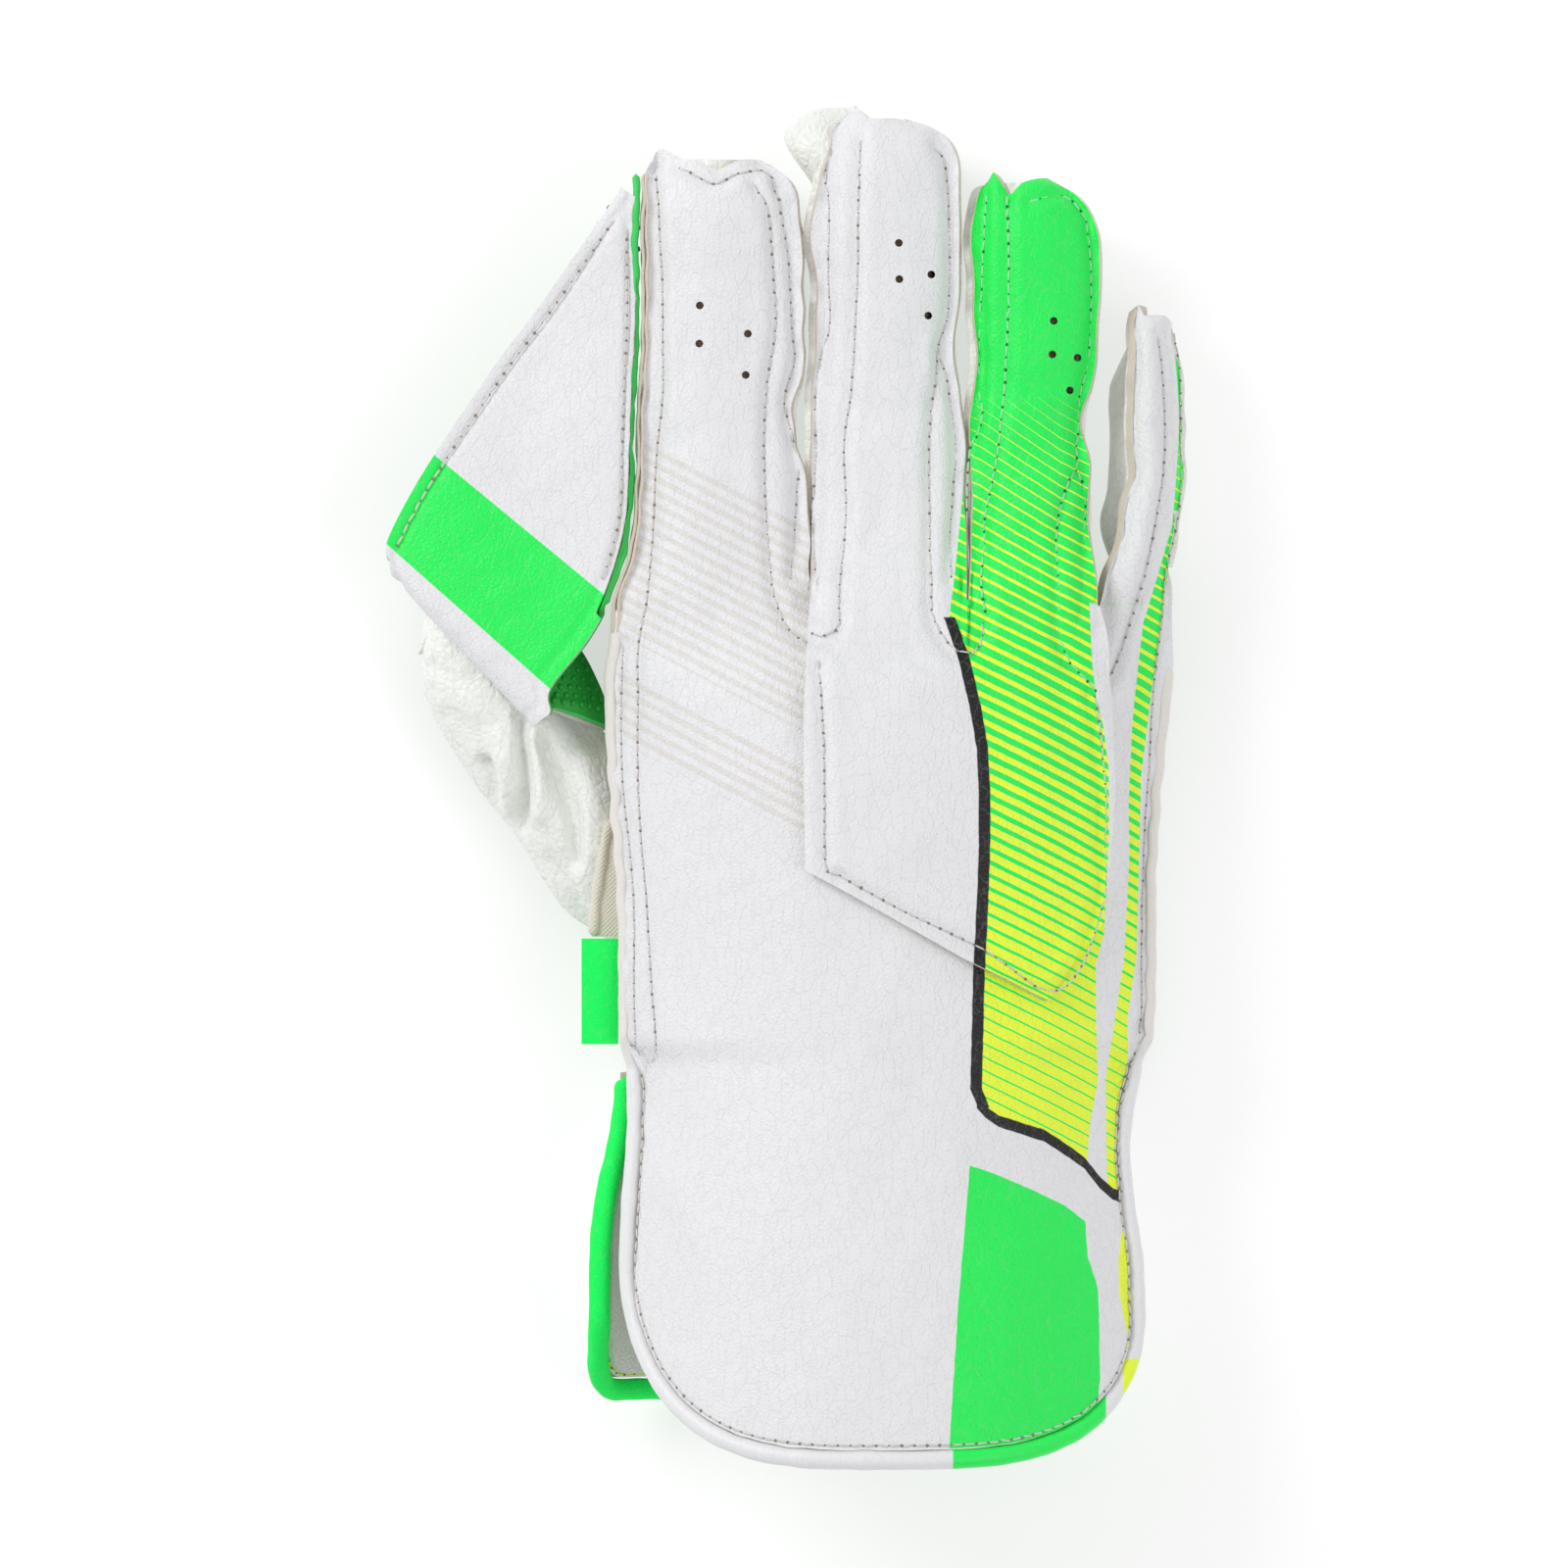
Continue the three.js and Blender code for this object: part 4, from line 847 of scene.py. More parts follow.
def leather(name, colour, grain, roughness=0.46, depth=0.22, paint=None, shine=0.42):
    """Coated leather with a pebbled grain. paint puts the prints over its colour."""
    graph = Graph(name)
    x, y, point = graph.layout()
    cloudy = graph.noise(point, 0.035, 3.0)
    skin = graph.paint(graph.step(cloudy, 0.52, 0.25) * 0.35, rgba(colour), rgba(colour, 0.93))
    if paint:
        skin = paint(graph, x, y, skin)
    height = grain_height(graph, point, grain)
    # Painted shade: the grain's low creases are darkened towards grey
    crease_shade = graph.before(height, 0.28, 0.2) * 0.16
    graph.surface("Base Color", graph.paint(crease_shade, skin, rgba(CREASE_SHADE)))
    graph.surface("Roughness", graph.noise(point, 0.4, 2.0) * 0.16 + (roughness - 0.08))
    graph.surface("Specular IOR Level", shine)
    graph.bump(height, depth * MM)
    return graph.material


def rubber(name, colour, grain=3.0):
    """Matt rubber with a fine moulded surface."""
    graph = Graph(name)
    point = graph.layout()[2]
    cloudy = graph.noise(point, 0.12, 3.0)
    graph.surface("Base Color", graph.paint(cloudy * 0.5, rgba(colour), rgba(colour, 0.6)))
    graph.surface("Roughness", cloudy * 0.2 + 0.42)
    graph.bump(graph.noise(point, grain, 2.0), 0.12 * MM)
    return graph.material


def cloth(name, colour, weave=1.1, loops=False):
    """Woven cloth, or towelling with small loops."""
    graph = Graph(name)
    point = graph.layout()[2]
    cloudy = graph.noise(point, 0.06, 2.0)
    if loops:
        height = graph.cells(point, 1 / weave, "F1")
    else:
        parts = graph.parts(point)
        turn = 2 * math.pi / weave
        height = (parts * turn).sine() * (parts.output("Y") * turn).sine() * 0.5 + 0.5
    shade = graph.paint(height * 0.25 + cloudy * 0.2, rgba(colour), rgba(colour, 0.72))
    graph.surface("Base Color", shade)
    graph.surface("Roughness", 0.92)
    graph.surface("Sheen Weight", 0.25)
    graph.bump(height, 0.25 * MM)
    return graph.material


def fibres(name, light, dark, share, noise, roughness, depth):
    """A fibrous surface between two colours, such as a cut edge or a thread."""
    graph = Graph(name)
    fibre = graph.noise(graph.layout()[2], *noise)
    graph.surface("Base Color", graph.paint(fibre * share, light, dark))
    graph.surface("Roughness", roughness)
    graph.bump(fibre, depth * MM)
    return graph.material


def cut_edge(name, colour):
    """The fibrous cut edge of leather, with its layers along it."""
    return fibres(name, rgba(colour, 1.04), rgba(colour, 0.78), 1.0, (1.6, 4.0, 0.7), 0.85, 0.3)


def thread(name, colour):
    return fibres(name, rgba(colour), rgba(colour, 0.6), 0.6, (2.2, 2.0), 0.6, 0.15)


# Seams of the back as lines of (x, y), and what a line of stitches does to the leather
BACK_SEAMS = {
    "index_top": ((-33.4, 157.1), (-26.9, 157.4), (-18.6, 153.7), (-13, 155.6), (-5.6, 156.8), (-2.2, 152)),
    "index_edge": ((-2.2, 152), (0.9, 134.8), (1.8, 116), (2.4, 108), (-0.1, 97.8), (1.8, 88.5), (3.2, 81),
                   (2.7, 65.4), (1.3, 52.4)),
    "index_inner": ((-8.4, 153.8), (-4.6, 147), (-3.4, 138), (-2.4, 118), (-4.6, 101), (-5.2, 86), (-5, 72),
                    (-3.8, 56), (-2.4, 47), (0.6, 40), (4.2, 37), (6, 36)),
    "index_web": ((-33.4, 157), (-32.9, 149.6), (-32, 130), (-31.5, 102.4), (-33.4, 85.7), (-33.8, 70),
                  (-35.7, 47), (-37.6, 34), (-38, 10), (-37.2, -10), (-35.6, -32), (-34.2, -52), (-33.6, -69),
                  (-37.2, -71)),
    "side_outer": ((-41.4, 36), (-42.2, 20), (-41.6, 0), (-39.6, -22), (-38.6, -42), (-38.8, -60),
                   (-38.6, -72)),
    "little_edge": ((95.6, 115), (97, 102), (97.4, 84), (95.6, 70), (93.6, 58), (89.4, 44), (84.6, 30),
                    (80, 24)),
    "little_outer": ((99.6, 116), (101.4, 104), (101.6, 88), (101, 70), (97.4, 48), (94.4, 20), (92.6, -8),
                     (91.8, -34), (91.4, -60), (89.4, -90), (88.2, -104)),
}
OVERLAY_SEAMS = {
    "middle_edge": ((12, 163), (10.3, 156), (10.8, 144), (10.6, 130), (11, 118), (9.2, 110.7), (7.5, 98),
                    (7.8, 84), (6.9, 70), (7.6, 54)),
    "middle_inner": ((19, 165), (18.4, 148), (18.3, 134), (17.5, 116), (16.6, 101.5), (14.7, 86.7), (15.2, 70),
                     (14.2, 47), (13.6, 39), (10, 36), (6.8, 36.4)),
    "middle_right": ((38, 163), (41.2, 158.5), (42, 146), (42, 121), (39.7, 111.6), (42.5, 98), (43.6, 84),
                     (42.5, 70), (41.2, 52)),
    "middle_right_inner": ((39.4, 111), (38.3, 102.4), (36.9, 88.5), (36.9, 70), (36.5, 47), (37.6, 40),
                           (41.6, 33.4), (46, 32), (49.2, 34.4), (50.6, 40)),
    "ring_edge": ((51.6, 155), (50.8, 146), (49.9, 130), (49.4, 102.4), (49.9, 95), (49, 90.4), (46.9, 84),
                  (46.2, 70)),
    "ring_inner": ((56.4, 150.5), (56.8, 130), (55.9, 107), (54, 85.7), (50.8, 70), (50.4, 60.8), (51.3, 43.2)),
    "ring_right": ((61.9, 148.6), (70.2, 150.6), (75.4, 147.4), (77.6, 141.2), (78.4, 125.5), (77.4, 107),
                   (75.1, 96), (74.7, 82), (76.5, 73.7), (75.8, 56.1), (74.9, 43)),
    "ring_right_inner": ((74.2, 80), (72.1, 76.5), (70.2, 70), (69.3, 60.8), (68.9, 42.3), (70.6, 32),
                         (77.4, 23.4)),
    "overlay_left": ((8.6, 30), (9.6, 14), (10, 0), (10.4, -20), (13.8, -23.4)),
    "overlay_low": ((13.8, -23.4), (30, -32.4), (48.6, -41.6), (67.6, -52.6), (78.4, -34), (79.8, -14),
                    (79.4, 6), (77.2, 22)),
}

# Folds of the leather as lines with a depth (a ridge is negative) and a half width, in millimetres
BACK_FOLDS = (
    (((-30, 60), (-16, 52), (-4, 50)), 0.35, 4),
    (((-36, 22), (-20, 12), (0, 8)), 0.3, 5),
    (((-34, 128), (-20, 131), (-2, 127)), 0.3, 4),
    (((-36, 84), (-22, 90), (-4, 86)), 0.4, 4),
    (((98, 60), (92, 40), (90, 22)), 0.8, 2.4),
    (((95, 92), (99, 70), (93, 48)), 0.6, 2),
    (((86, -20), (92, -38), (86, -60)), 0.7, 3),
    (((90, -62), (84, -74), (89, -88)), 0.8, 2.4),
    (((-38, -100), (-28, -120), (-26, -140)), 0.5, 5),
)
OVERLAY_FOLDS = (
    (((12, 100), (26, 94), (40, 98)), 0.5, 4),
    (((14, 54), (24, 66), (26, 84)), 0.45, 3),
    (((50, 108), (60, 100), (74, 104)), 0.5, 4),
    (((52, 72), (64, 64), (76, 68)), 0.4, 4),
    (((56, 46), (62, 30), (64, 10)), -0.7, 5),
    (((48, 20), (54, 4), (54, -20)), 0.35, 5),
    (((70, 44), (72, 20), (78, 4)), 0.5, 4),
)

# Each panel's seams, folds and seed, and the width of a seam's dip and the swelling beside it
BACK_SEWING = (BACK_SEAMS, BACK_FOLDS, 3)
OVERLAY_SEWING = (OVERLAY_SEAMS, OVERLAY_FOLDS, 5)
SEAM_WIDTH = 1.2
SEAM_SWELL = (0.35, 1.8, 3.4)
THREAD_LIFT = 0.1


def groove(line, x, y, depth, width, middle=0.0):
    """How deep a line presses the leather in at each point, at a distance from the line."""
    away = distance_to(refine(line, 4), x, y)
    return depth * np.exp(-(((away - middle) / width) ** 2))


def relief(place, sizes, seams, folds, seed):
    """How far the leather stands out at each point: seams pull it in, folds and slackness move it."""
    x, y = place[..., 0], place[..., 1]
    height = 0.28 * ripple(x, y, 26, seed) + 0.1 * ripple(x, y, 9, seed + 1)
    for line in seams.values():
        height = height - groove(line, x, y, mm(sizes.seam_depth), SEAM_WIDTH)
        height = height + groove(line, x, y, *SEAM_SWELL)
    for line, depth, width in folds:
        height = height - groove(line, x, y, depth, width)
    return height


def lay_on(top, normals, sizes, sewing):
    """Moves points of the bare back onto its leather's surface."""
    height = relief(top, sizes, *sewing)
    return top + normals * (height[:, None] + THREAD_LIFT), normals


def seam_wave(y, side, seed):
    """How far the plies of a seam wander sideways and up at places down a finger, as shares."""
    return 0.6 * ripple(y, side * 70, 13, seed + 3), 1.1 * ripple(y, side * 40, 9, seed) + 0.3


def edge_wave(place, across, sizes, seed):
    """The raw edges of the seams wander sideways and up and down."""
    at_edge = smooth((np.abs(across) - 0.84) / 0.16)
    aside, up = seam_wave(place[..., 1], np.sign(across), seed)
    place[..., 0] += at_edge * mm(sizes.edge_wave) * aside
    place[..., 2] += at_edge * mm(sizes.edge_wave) * up
    return place


def bevel(place, across, is_free):
    """Draws the upper rim of a cut edge in, so that the edge shows from above."""
    place = place.copy()
    place[..., 0] -= np.where(is_free, RIM_BEVEL * np.sign(across) * (np.abs(across) > 0.999), 0)
    return place


def columns_for(fingers, step):
    """Columns across the fingers, as pairs of a finger and a place across it."""
    spread = {finger: np.linspace(-1, 1, int(finger.width / step) + 4) for finger in fingers}
    return [(finger, across) for finger in fingers for across in spread[finger]]


def panel_grid(columns, rows, point_at):
    """Points and normals for every row and column, worked out finger by finger."""
    grid = np.zeros((len(rows), len(columns), 3))
    normals = np.zeros_like(grid)
    across_all = np.array([across for _, across in columns])
    for finger in {id(f): f for f, _ in columns}.values():
        at = [i for i, (f, _) in enumerate(columns) if f is finger]
        spot = (finger, across_all[at][None, :], rows[:, None])
        grid[:, at] = point_at(*spot)
        normals[:, at] = back_normal(*spot)
    return grid, normals, across_all[None, :]


def panel_rows(on_hand, on_finger):
    """Rows of a panel as runs: from its lower edge to the crotches, and on to the fingertips."""
    return np.concatenate([np.linspace(0, 1, on_hand), np.linspace(1, 2, on_finger)[1:]])


def panel_cells(columns, rows, fingers):
    """Which cells have leather: all of the hand's, and past the crotches those on the given fingers."""
    has = np.ones((len(rows) - 1, len(columns) - 1), bool)
    has[rows[:-1] >= 1] &= same_finger(columns, fingers)[None, :]
    return has


def panel_layers(sizes, fingers, covered, hand_length, point_at, sewing, wave, thickness, free_columns=0):
    """A back panel's outer and inner points and its cells. free_columns are loose at each side."""
    step = mm(sizes.mesh_step)
    columns = columns_for(fingers, step)
    rows = panel_rows(int(hand_length / step), int(covered[0].length / step))
    grid, normals, across = panel_grid(columns, rows, point_at)
    runs = np.broadcast_to(rows[:, None], grid.shape[:2])
    grid = grid + normals * relief(grid, sizes, *sewing)[..., None]
    place = np.arange(len(columns))
    is_free = (runs > 1) | (np.minimum(place, place[::-1]) < free_columns)
    grid = np.where(is_free[..., None], edge_wave(grid.copy(), across, sizes, wave), grid)
    inner = with_ear(grid - normals * thickness, across, runs)
    outer = with_ear(bevel(grid, across, is_free), across, runs)
    return outer, inner, panel_cells(columns, rows, covered)


def same_finger(columns, wanted):
    return np.array(
        [a[0] is b[0] and any(a[0] is f for f in wanted) for a, b in zip(columns[:-1], columns[1:])]
    )


def punch(layers, has, finger, vents):
    """Round vent holes: drops the cells round a point and moves their rim onto a circle."""
    for share, across in vents:
        centre = back_point(finger, across, 1 + share)
        away = np.hypot(layers[0][..., 0] - centre[0], layers[0][..., 1] - centre[1])
        row, column = np.unravel_index(away.argmin(), away.shape)
        has[row - 1 : row + 1, column - 1 : column + 1] = False
        for up, right in ((1, 0), (1, 1), (0, 1), (-1, 1), (-1, 0), (-1, -1), (0, -1), (1, -1)):
            reach = VENT_RADIUS / math.hypot(up, right)
            for layer in layers:
                layer[row + up, column + right, 0] = centre[0] + reach * right
                layer[row + up, column + right, 1] = centre[1] + reach * up


TIP_DIPS = ((INDEX, -17.3, 2.6, 3.6), (RING, 57.4, 3.0, 2.2), (RING, 66, -1.2, 5))


def tip_shape(place, finger, run):
    """The dips in the top edges of the index and ring fingers."""
    near_top = smooth((run - 1.93) / 0.07)
    for owner, middle, depth, width in TIP_DIPS:
        if finger is owner:
            place[..., 1] -= depth * near_top * np.exp(-(((place[..., 0] - middle) / width) ** 2))
    return place


def close_crotch(place, finger, across):
    """Brings the fingers' edges together just above the crotches."""
    to_left, to_right, top = CROTCH_FILLS[finger]
    y = place[..., 1]
    near = smooth((top - y) / 18) * smooth((y - 22) / 20)
    place[..., 0] += near * mix(to_left, to_right, (across + 1) / 2)
    return place


def finger_point(finger, across, run):
    """Points of a finger's back with the shape of its top and its crotches."""
    place = tip_shape(back_point(finger, across, run), finger, np.asarray(run))
    return close_crotch(place, finger, across)


# The prints on the back, as lines in layout millimetres
BLACK_LINE = (
    (42.4, 41.6), (32.7, 45.1), (20, 48.1), (9, 49.9), (-1.7, 50.4), (-15.7, 50.4), (-29.7, 49.9),
    (-44.5, 49.1), (-60, 48.7), (-77, 48.2), (-83, 50.6),
)
BLACK_FOOT = (
    (48.5, -80.6), (50.6, -83), (54, -85.4), (65.6, -89.2), (72, -93.4), (76.1, -96.5), (80, -101.4),
    (83.4, -104.4), (88, -106.2), (96, -108),
)
PRINT_LEFT = ((160, 46.4), (95, 46.4), (80, 45.9), (68, 44.6), (58, 43.6), (48, 42.4), *BLACK_LINE)
PRINT_RIGHT = (
    (47, 77.4), (30, 78.2), (22, 79.2), (14, 81.1), (4, 82.3), (-13, 82.4), (-38, 81.2), (-46, 79),
    (-60, 79), (-76, 79.6), (-86, 77.6), (-100, 76.4), (-110, 77),
)
SIDE_PRINT_RIGHT = (
    (66, 99.6), (44, 96.4), (23, 93.6), (2, 90.9), (-20, 90.4), (-44, 89.6), (-60, 87.2), (-70, 87.4),
    (-84, 85.6), (-94, 87.2), (-105, 89.2),
)
SIDE_PRINT_LEFT = (
    (120, 99), (94, 101), (66, 99), (41, 91.4), (16, 88.6), (-5, 87.6), (-19, 87.8), (-44, 86.4),
    (-75, 81.6), (-100, 82),
)
BLOCK_TOP = ((46.6, -96.4), (52.9, -98.6), (62.4, -102.8), (70.9, -107), (76.2, -111.2))
BLOCK_LEFT = ((-96, 46.7), (-130, 43.7), (-168, 41.2))
BLOCK_RIGHT = ((-111, 76.2), (-120, 76.8), (-128, 79.4), (-140, 79.8), (-151, 79.9), (-162, 78.8))
CORNER_LEFT = ((-114, 85.6), (-122, 84.8), (-130, 85), (-140, 87.2), (-150, 87), (-158, 84.6))
STRIPE_PITCH = 3.36
STRIPE_SLOPE = 0.5
PALE_PITCH = 3.45
PALE_SLOPE = 0.53
RING_MIDDLE_X = 60.0
BLACK_HALF_WIDTH = 1.5


def glove_print(colours, on_overlay):
    """A painter that puts the stripes, blocks and black line over the leather's own colour."""

    def paint(graph, x, y, under):
        green, yellow = rgba(colours.green), rgba(colours.yellow)
        wander = graph.noise(graph.object_point(), 260.0, 2.0) * 0.5 - 0.25
        x_rough, y_rough = x + wander, y + wander
        past_ring = x - RING_MIDDLE_X
        fall = past_ring * past_ring * 0.0016 * graph.step(x, RING_MIDDLE_X, 20.0)
        steep = graph.step(x, RING_MIDDLE_X, 10.0) * graph.step(y, 66.0, 30.0) * 5.0
        stripe = ((y + x * STRIPE_SLOPE + fall + steep + wander * 0.8) / STRIPE_PITCH).fraction()
        share = ((100 - y) / 190).at_least(0.0).at_most(0.86)
        stripes = graph.paint(stripe < share, green, yellow)

        foot = graph.line(x, BLACK_FOOT)
        above_foot = graph.step(y_rough, foot)
        on_ring = graph.step(y, 46.0, 0.4)
        inside = graph.step(x, graph.line(y, PRINT_LEFT)) * above_foot
        inside = inside * (1 - graph.step(x, graph.line(y, PRINT_RIGHT)) * (1 - on_ring))
        body = graph.paint(inside * (1 - graph.step(x, 80.2) * on_ring), under, stripes)

        if not on_overlay:
            beside = graph.step(x, graph.line(y, SIDE_PRINT_LEFT)) * graph.step(x, RING_MIDDLE_X) * above_foot
            beside = beside * (1 - graph.step(x, graph.line(y, SIDE_PRINT_RIGHT)) * graph.before(y, 70.0))
            body = graph.paint(beside, body, stripes)
            body = pale_stripes(graph, colours, x, y, body)
            under_edge = (x - 22.6) * 0.489 + (y + 29.2) * 0.872
            thin = graph.before((under_edge + 1.1).absolute(), 0.45) * graph.between(x, 21.5, 66.0, 0.5)
            body = graph.paint(thin, body, green)
            body = cuff_blocks(graph, x, x_rough, y_rough, body, green, yellow)

        line_offset = (x_rough - graph.line(y, BLACK_LINE)).absolute()
        line = graph.before(line_offset, BLACK_HALF_WIDTH) * graph.between(y, -82.0, 42.4)
        foot_line = graph.before((y_rough - foot).absolute(), BLACK_HALF_WIDTH) * graph.between(x, 48.4, 88.4)
        return graph.paint(line.at_least(foot_line), body, rgba(colours.black))

    return paint


def pale_stripes(graph, colours, x, y, under):
    """Faint stripes over the index finger and the hand below it."""
    stripe = (((y + x * PALE_SLOPE) / PALE_PITCH).fraction() - 0.5).absolute()
    top = y + (x + 34) * PALE_SLOPE
    rows = graph.between(top, 33.6, 87.0, 0.3).at_least(graph.between(top, 6.6, 24.4, 0.3))
    across = graph.step(x, -43.0, 0.5) * graph.before(x, 6.2, 0.3)
    mask = graph.before(stripe, 0.24, 0.07) * rows * across * 0.6
    return graph.paint(mask, under, rgba(colours.pale_stripe))


def cuff_blocks(graph, x, x_rough, y_rough, under, green, yellow):
    """The green block at the cuff and the yellow patch at its corner."""
    block = graph.between(x_rough, graph.line(y_rough, BLOCK_LEFT), graph.line(y_rough, BLOCK_RIGHT))
    painted = graph.paint(block * graph.before(y_rough, graph.line(x, BLOCK_TOP)), under, green)
    corner = graph.step(x_rough, graph.line(y_rough, CORNER_LEFT))
    corner = corner * graph.before(y_rough, -114.0) * graph.step(x, 80.0)
    return graph.paint(corner, painted, yellow)


# The back of the hand
def in_scene(context):
    return context.scene.glove_sizes, context.scene.glove_colours


def finish(context, name):
    """One of the glove's materials, made once. The frame's plain ones have its name without glove_."""
    sizes, colours = in_scene(context)
    grain = mm(sizes.grain_size)
    makers = {
        "raw_leather_edge": lambda own: cut_edge(own, colours.raw_edge),
        "rubber_edge": lambda own: rubber(own, colours.rubber_edge, 1.2),
        # Palm rubber: a darker copy of the rubber, darkened to cut the green light it bounces onto the floor
        "palm_rubber": lambda own: rubber(own, colours.rubber),
        "soft_leather": lambda own: leather(own, colours.soft_white, grain * 1.8, 0.38, 0.38),
        "white_leather": lambda own: leather(own, colours.white, grain),
        "green_tape": lambda own: leather(own, colours.tape, 0.8, 0.66, 0.16, shine=0.15),
        "cream_cloth": lambda own: cloth(own, colours.cream),
        "towelling": lambda own: cloth(own, colours.lining, 0.9, True),
        "wadding": lambda own: cloth(own, colours.wadding),
    }
    own_name = "glove_" + name
    return bpy.data.materials.get(own_name) or makers[name](own_name)


def printed_leather(context, name, paint):
    sizes, colours = in_scene(context)
    return leather(name, colours.white, mm(sizes.grain_size), paint=paint)


INDEX_VENTS = ((0.673, -0.29), (0.588, -0.29), (0.61, 0.3), (0.518, 0.3))
MIDDLE_VENTS = ((0.744, 0.18), (0.67, 0.16), (0.68, 0.6), (0.596, 0.57))
RING_VENTS = ((0.674, 0.27), (0.595, 0.27), (0.588, 0.69), (0.511, 0.63))
VENT_RADIUS = 1.05
RIM_BEVEL = 0.55
BACK_WAVE = 21
OVERLAY_WAVE = 31
OVERLAY_DEPTH = 100
OVERLAY_ROW_LENGTH = 90
OVERLAY_FLARE = 7.5
OVERLAY_LOW_EDGE = ((0, 0.17, 0.83, 1), (0.67, 0.735, 1, 0.805))
WADDING_DEPTH = 3.6


def make_hand_back(context):
    sizes, colours = in_scene(context)
    outer, inner, has = panel_layers(
        sizes, FINGERS, (INDEX, LITTLE), HAND_LENGTH, finger_point, BACK_SEWING, BACK_WAVE, BACK_THICKNESS, 3
    )
    punch((outer, inner), has, INDEX, INDEX_VENTS)
    printed = printed_leather(context, "white_leather_printed", glove_print(colours, False))
    piece = shell("back_leather", outer, inner, [printed, finish(context, "raw_leather_edge")], has)
    settle(piece, "white_leather", "hand_back")


def overlay_run(finger, across, row):
    """Rows of the overlay, from its slanted lower edge to the fingertips."""
    left = MIDDLE.left
    reach = RING.left + RING.width - left
    place = (finger.left + (across + 1) / 2 * finger.width - left) / reach
    edge = np.interp(place, *OVERLAY_LOW_EDGE)
    start = hand_run(CROTCH_Y - OVERLAY_DEPTH * edge, share_of(finger, across))
    return np.where(row > 1, row, mix(start, 1, np.minimum(row, 1)))


def overlay_rise(run):
    """How far the overlay stands over the back, down to nothing past the crotches."""
    return (OVERLAY_THICKNESS + OVERLAY_STAND) * (1 - smooth((run - 1.02) / 0.14))


def overlay_surface(finger, across, row):
    """Points and normals of the overlay's outside."""
    run = overlay_run(finger, across, row)
    normal = back_normal(finger, across, run)
    place = finger_point(finger, across, run)
    flare = OVERLAY_FLARE * np.sin(math.pi * np.minimum(1, 0.25 + 0.75 * row)) * (across + 1) / 2
    flare = np.where((row < 1) & (finger is RING), flare, 0)
    place[..., 0] += flare
    place[..., 2] -= flare * normal[..., 0] / normal[..., 2]
    return place + normal * overlay_rise(run)[..., None]


def make_overlay(context):
    sizes, colours = in_scene(context)
    covered = (MIDDLE, RING)
    outer, inner, has = panel_layers(
        sizes, covered, covered, OVERLAY_ROW_LENGTH, overlay_surface, OVERLAY_SEWING, OVERLAY_WAVE,
        OVERLAY_THICKNESS
    )
    punch((outer, inner), has, MIDDLE, MIDDLE_VENTS)
    punch((outer, inner), has, RING, RING_VENTS)
    printed = printed_leather(context, "overlay_leather_printed", glove_print(colours, True))
    piece = shell("finger_overlay_leather", outer, inner, [printed, finish(context, "raw_leather_edge")], has)
    settle(piece, "overlay_leather", "finger_overlay")
    vents = ((INDEX, INDEX_VENTS), (MIDDLE, MIDDLE_VENTS), (RING, RING_VENTS))
    spots = [(finger, across, 1 + share) for finger, places in vents for share, across in places]
    ways = np.array([back_normal(*spot) for spot in spots])
    places = np.array([back_point(*spot) for spot in spots]) - ways * WADDING_DEPTH
    make_pimples("vent_wadding", places, ways, 2.2, 0.9, finish(context, "wadding"), "lining_cloth")


# The palm
PALM_STEP = 2.2
PALM_ROWS = 56
PALM_PIMPLE_SPREAD = 1.25
PALM_PIMPLE_LENGTH = 230


def palm_tip_rise(share):
    return FINGERTIP_RISE * clamp01((share - 0.86) / 0.14) ** 2


def palm_point(finger, across, run):
    """Points of the outside of the palm's rubber, which faces down."""
    across, run = np.broadcast_arrays(np.asarray(across, float), np.asarray(run, float))
    middleward = (across + 1) / 2
    base = finger.left + PALM_INSET + middleward * (finger.width - 2 * PALM_INSET)
    share = (base - HAND_LEFT_X - PALM_INSET) / (KNUCKLE_WIDTH - 2 * PALM_INSET)
    hand_y = mix(PALM_CUFF_START + CLEARANCE, CROTCH_Y, run)
    blend = smooth((hand_y - CROTCH_Y) / KNUCKLE_BLEND + 1)
    edge_share = np.minimum(1, np.abs(2 * share - 1))
    hand_rise = mix(PALM_EDGE_RISE * edge_share**8, FINGER_EDGE_RISE * across**6, blend)
    hand_x = mix(hand_edge("left", hand_y) + PALM_INSET, hand_edge("right", hand_y) - PALM_INSET, share)
    finger_share = np.maximum(run - 1, 0)
    inset = mix(PALM_INSET, PALM_INSET * np.minimum(1, 0.4 + finger_share * 4), finger_share)
    finger_y = CROTCH_Y + finger_share * (finger.length - PALM_INSET)
    left = finger.edge("left", finger_share) + inset
    right = finger.edge("right", finger_share) - inset
    finger_rise = FINGER_EDGE_RISE * across**6 + palm_tip_rise(finger_share)
    on_hand = run <= 1
    y = np.where(on_hand, hand_y, finger_y)
    x = np.where(on_hand, hand_x, mix(left, right, middleward))
    return points(x, y, palm_lift(y) + np.where(on_hand, hand_rise, finger_rise))


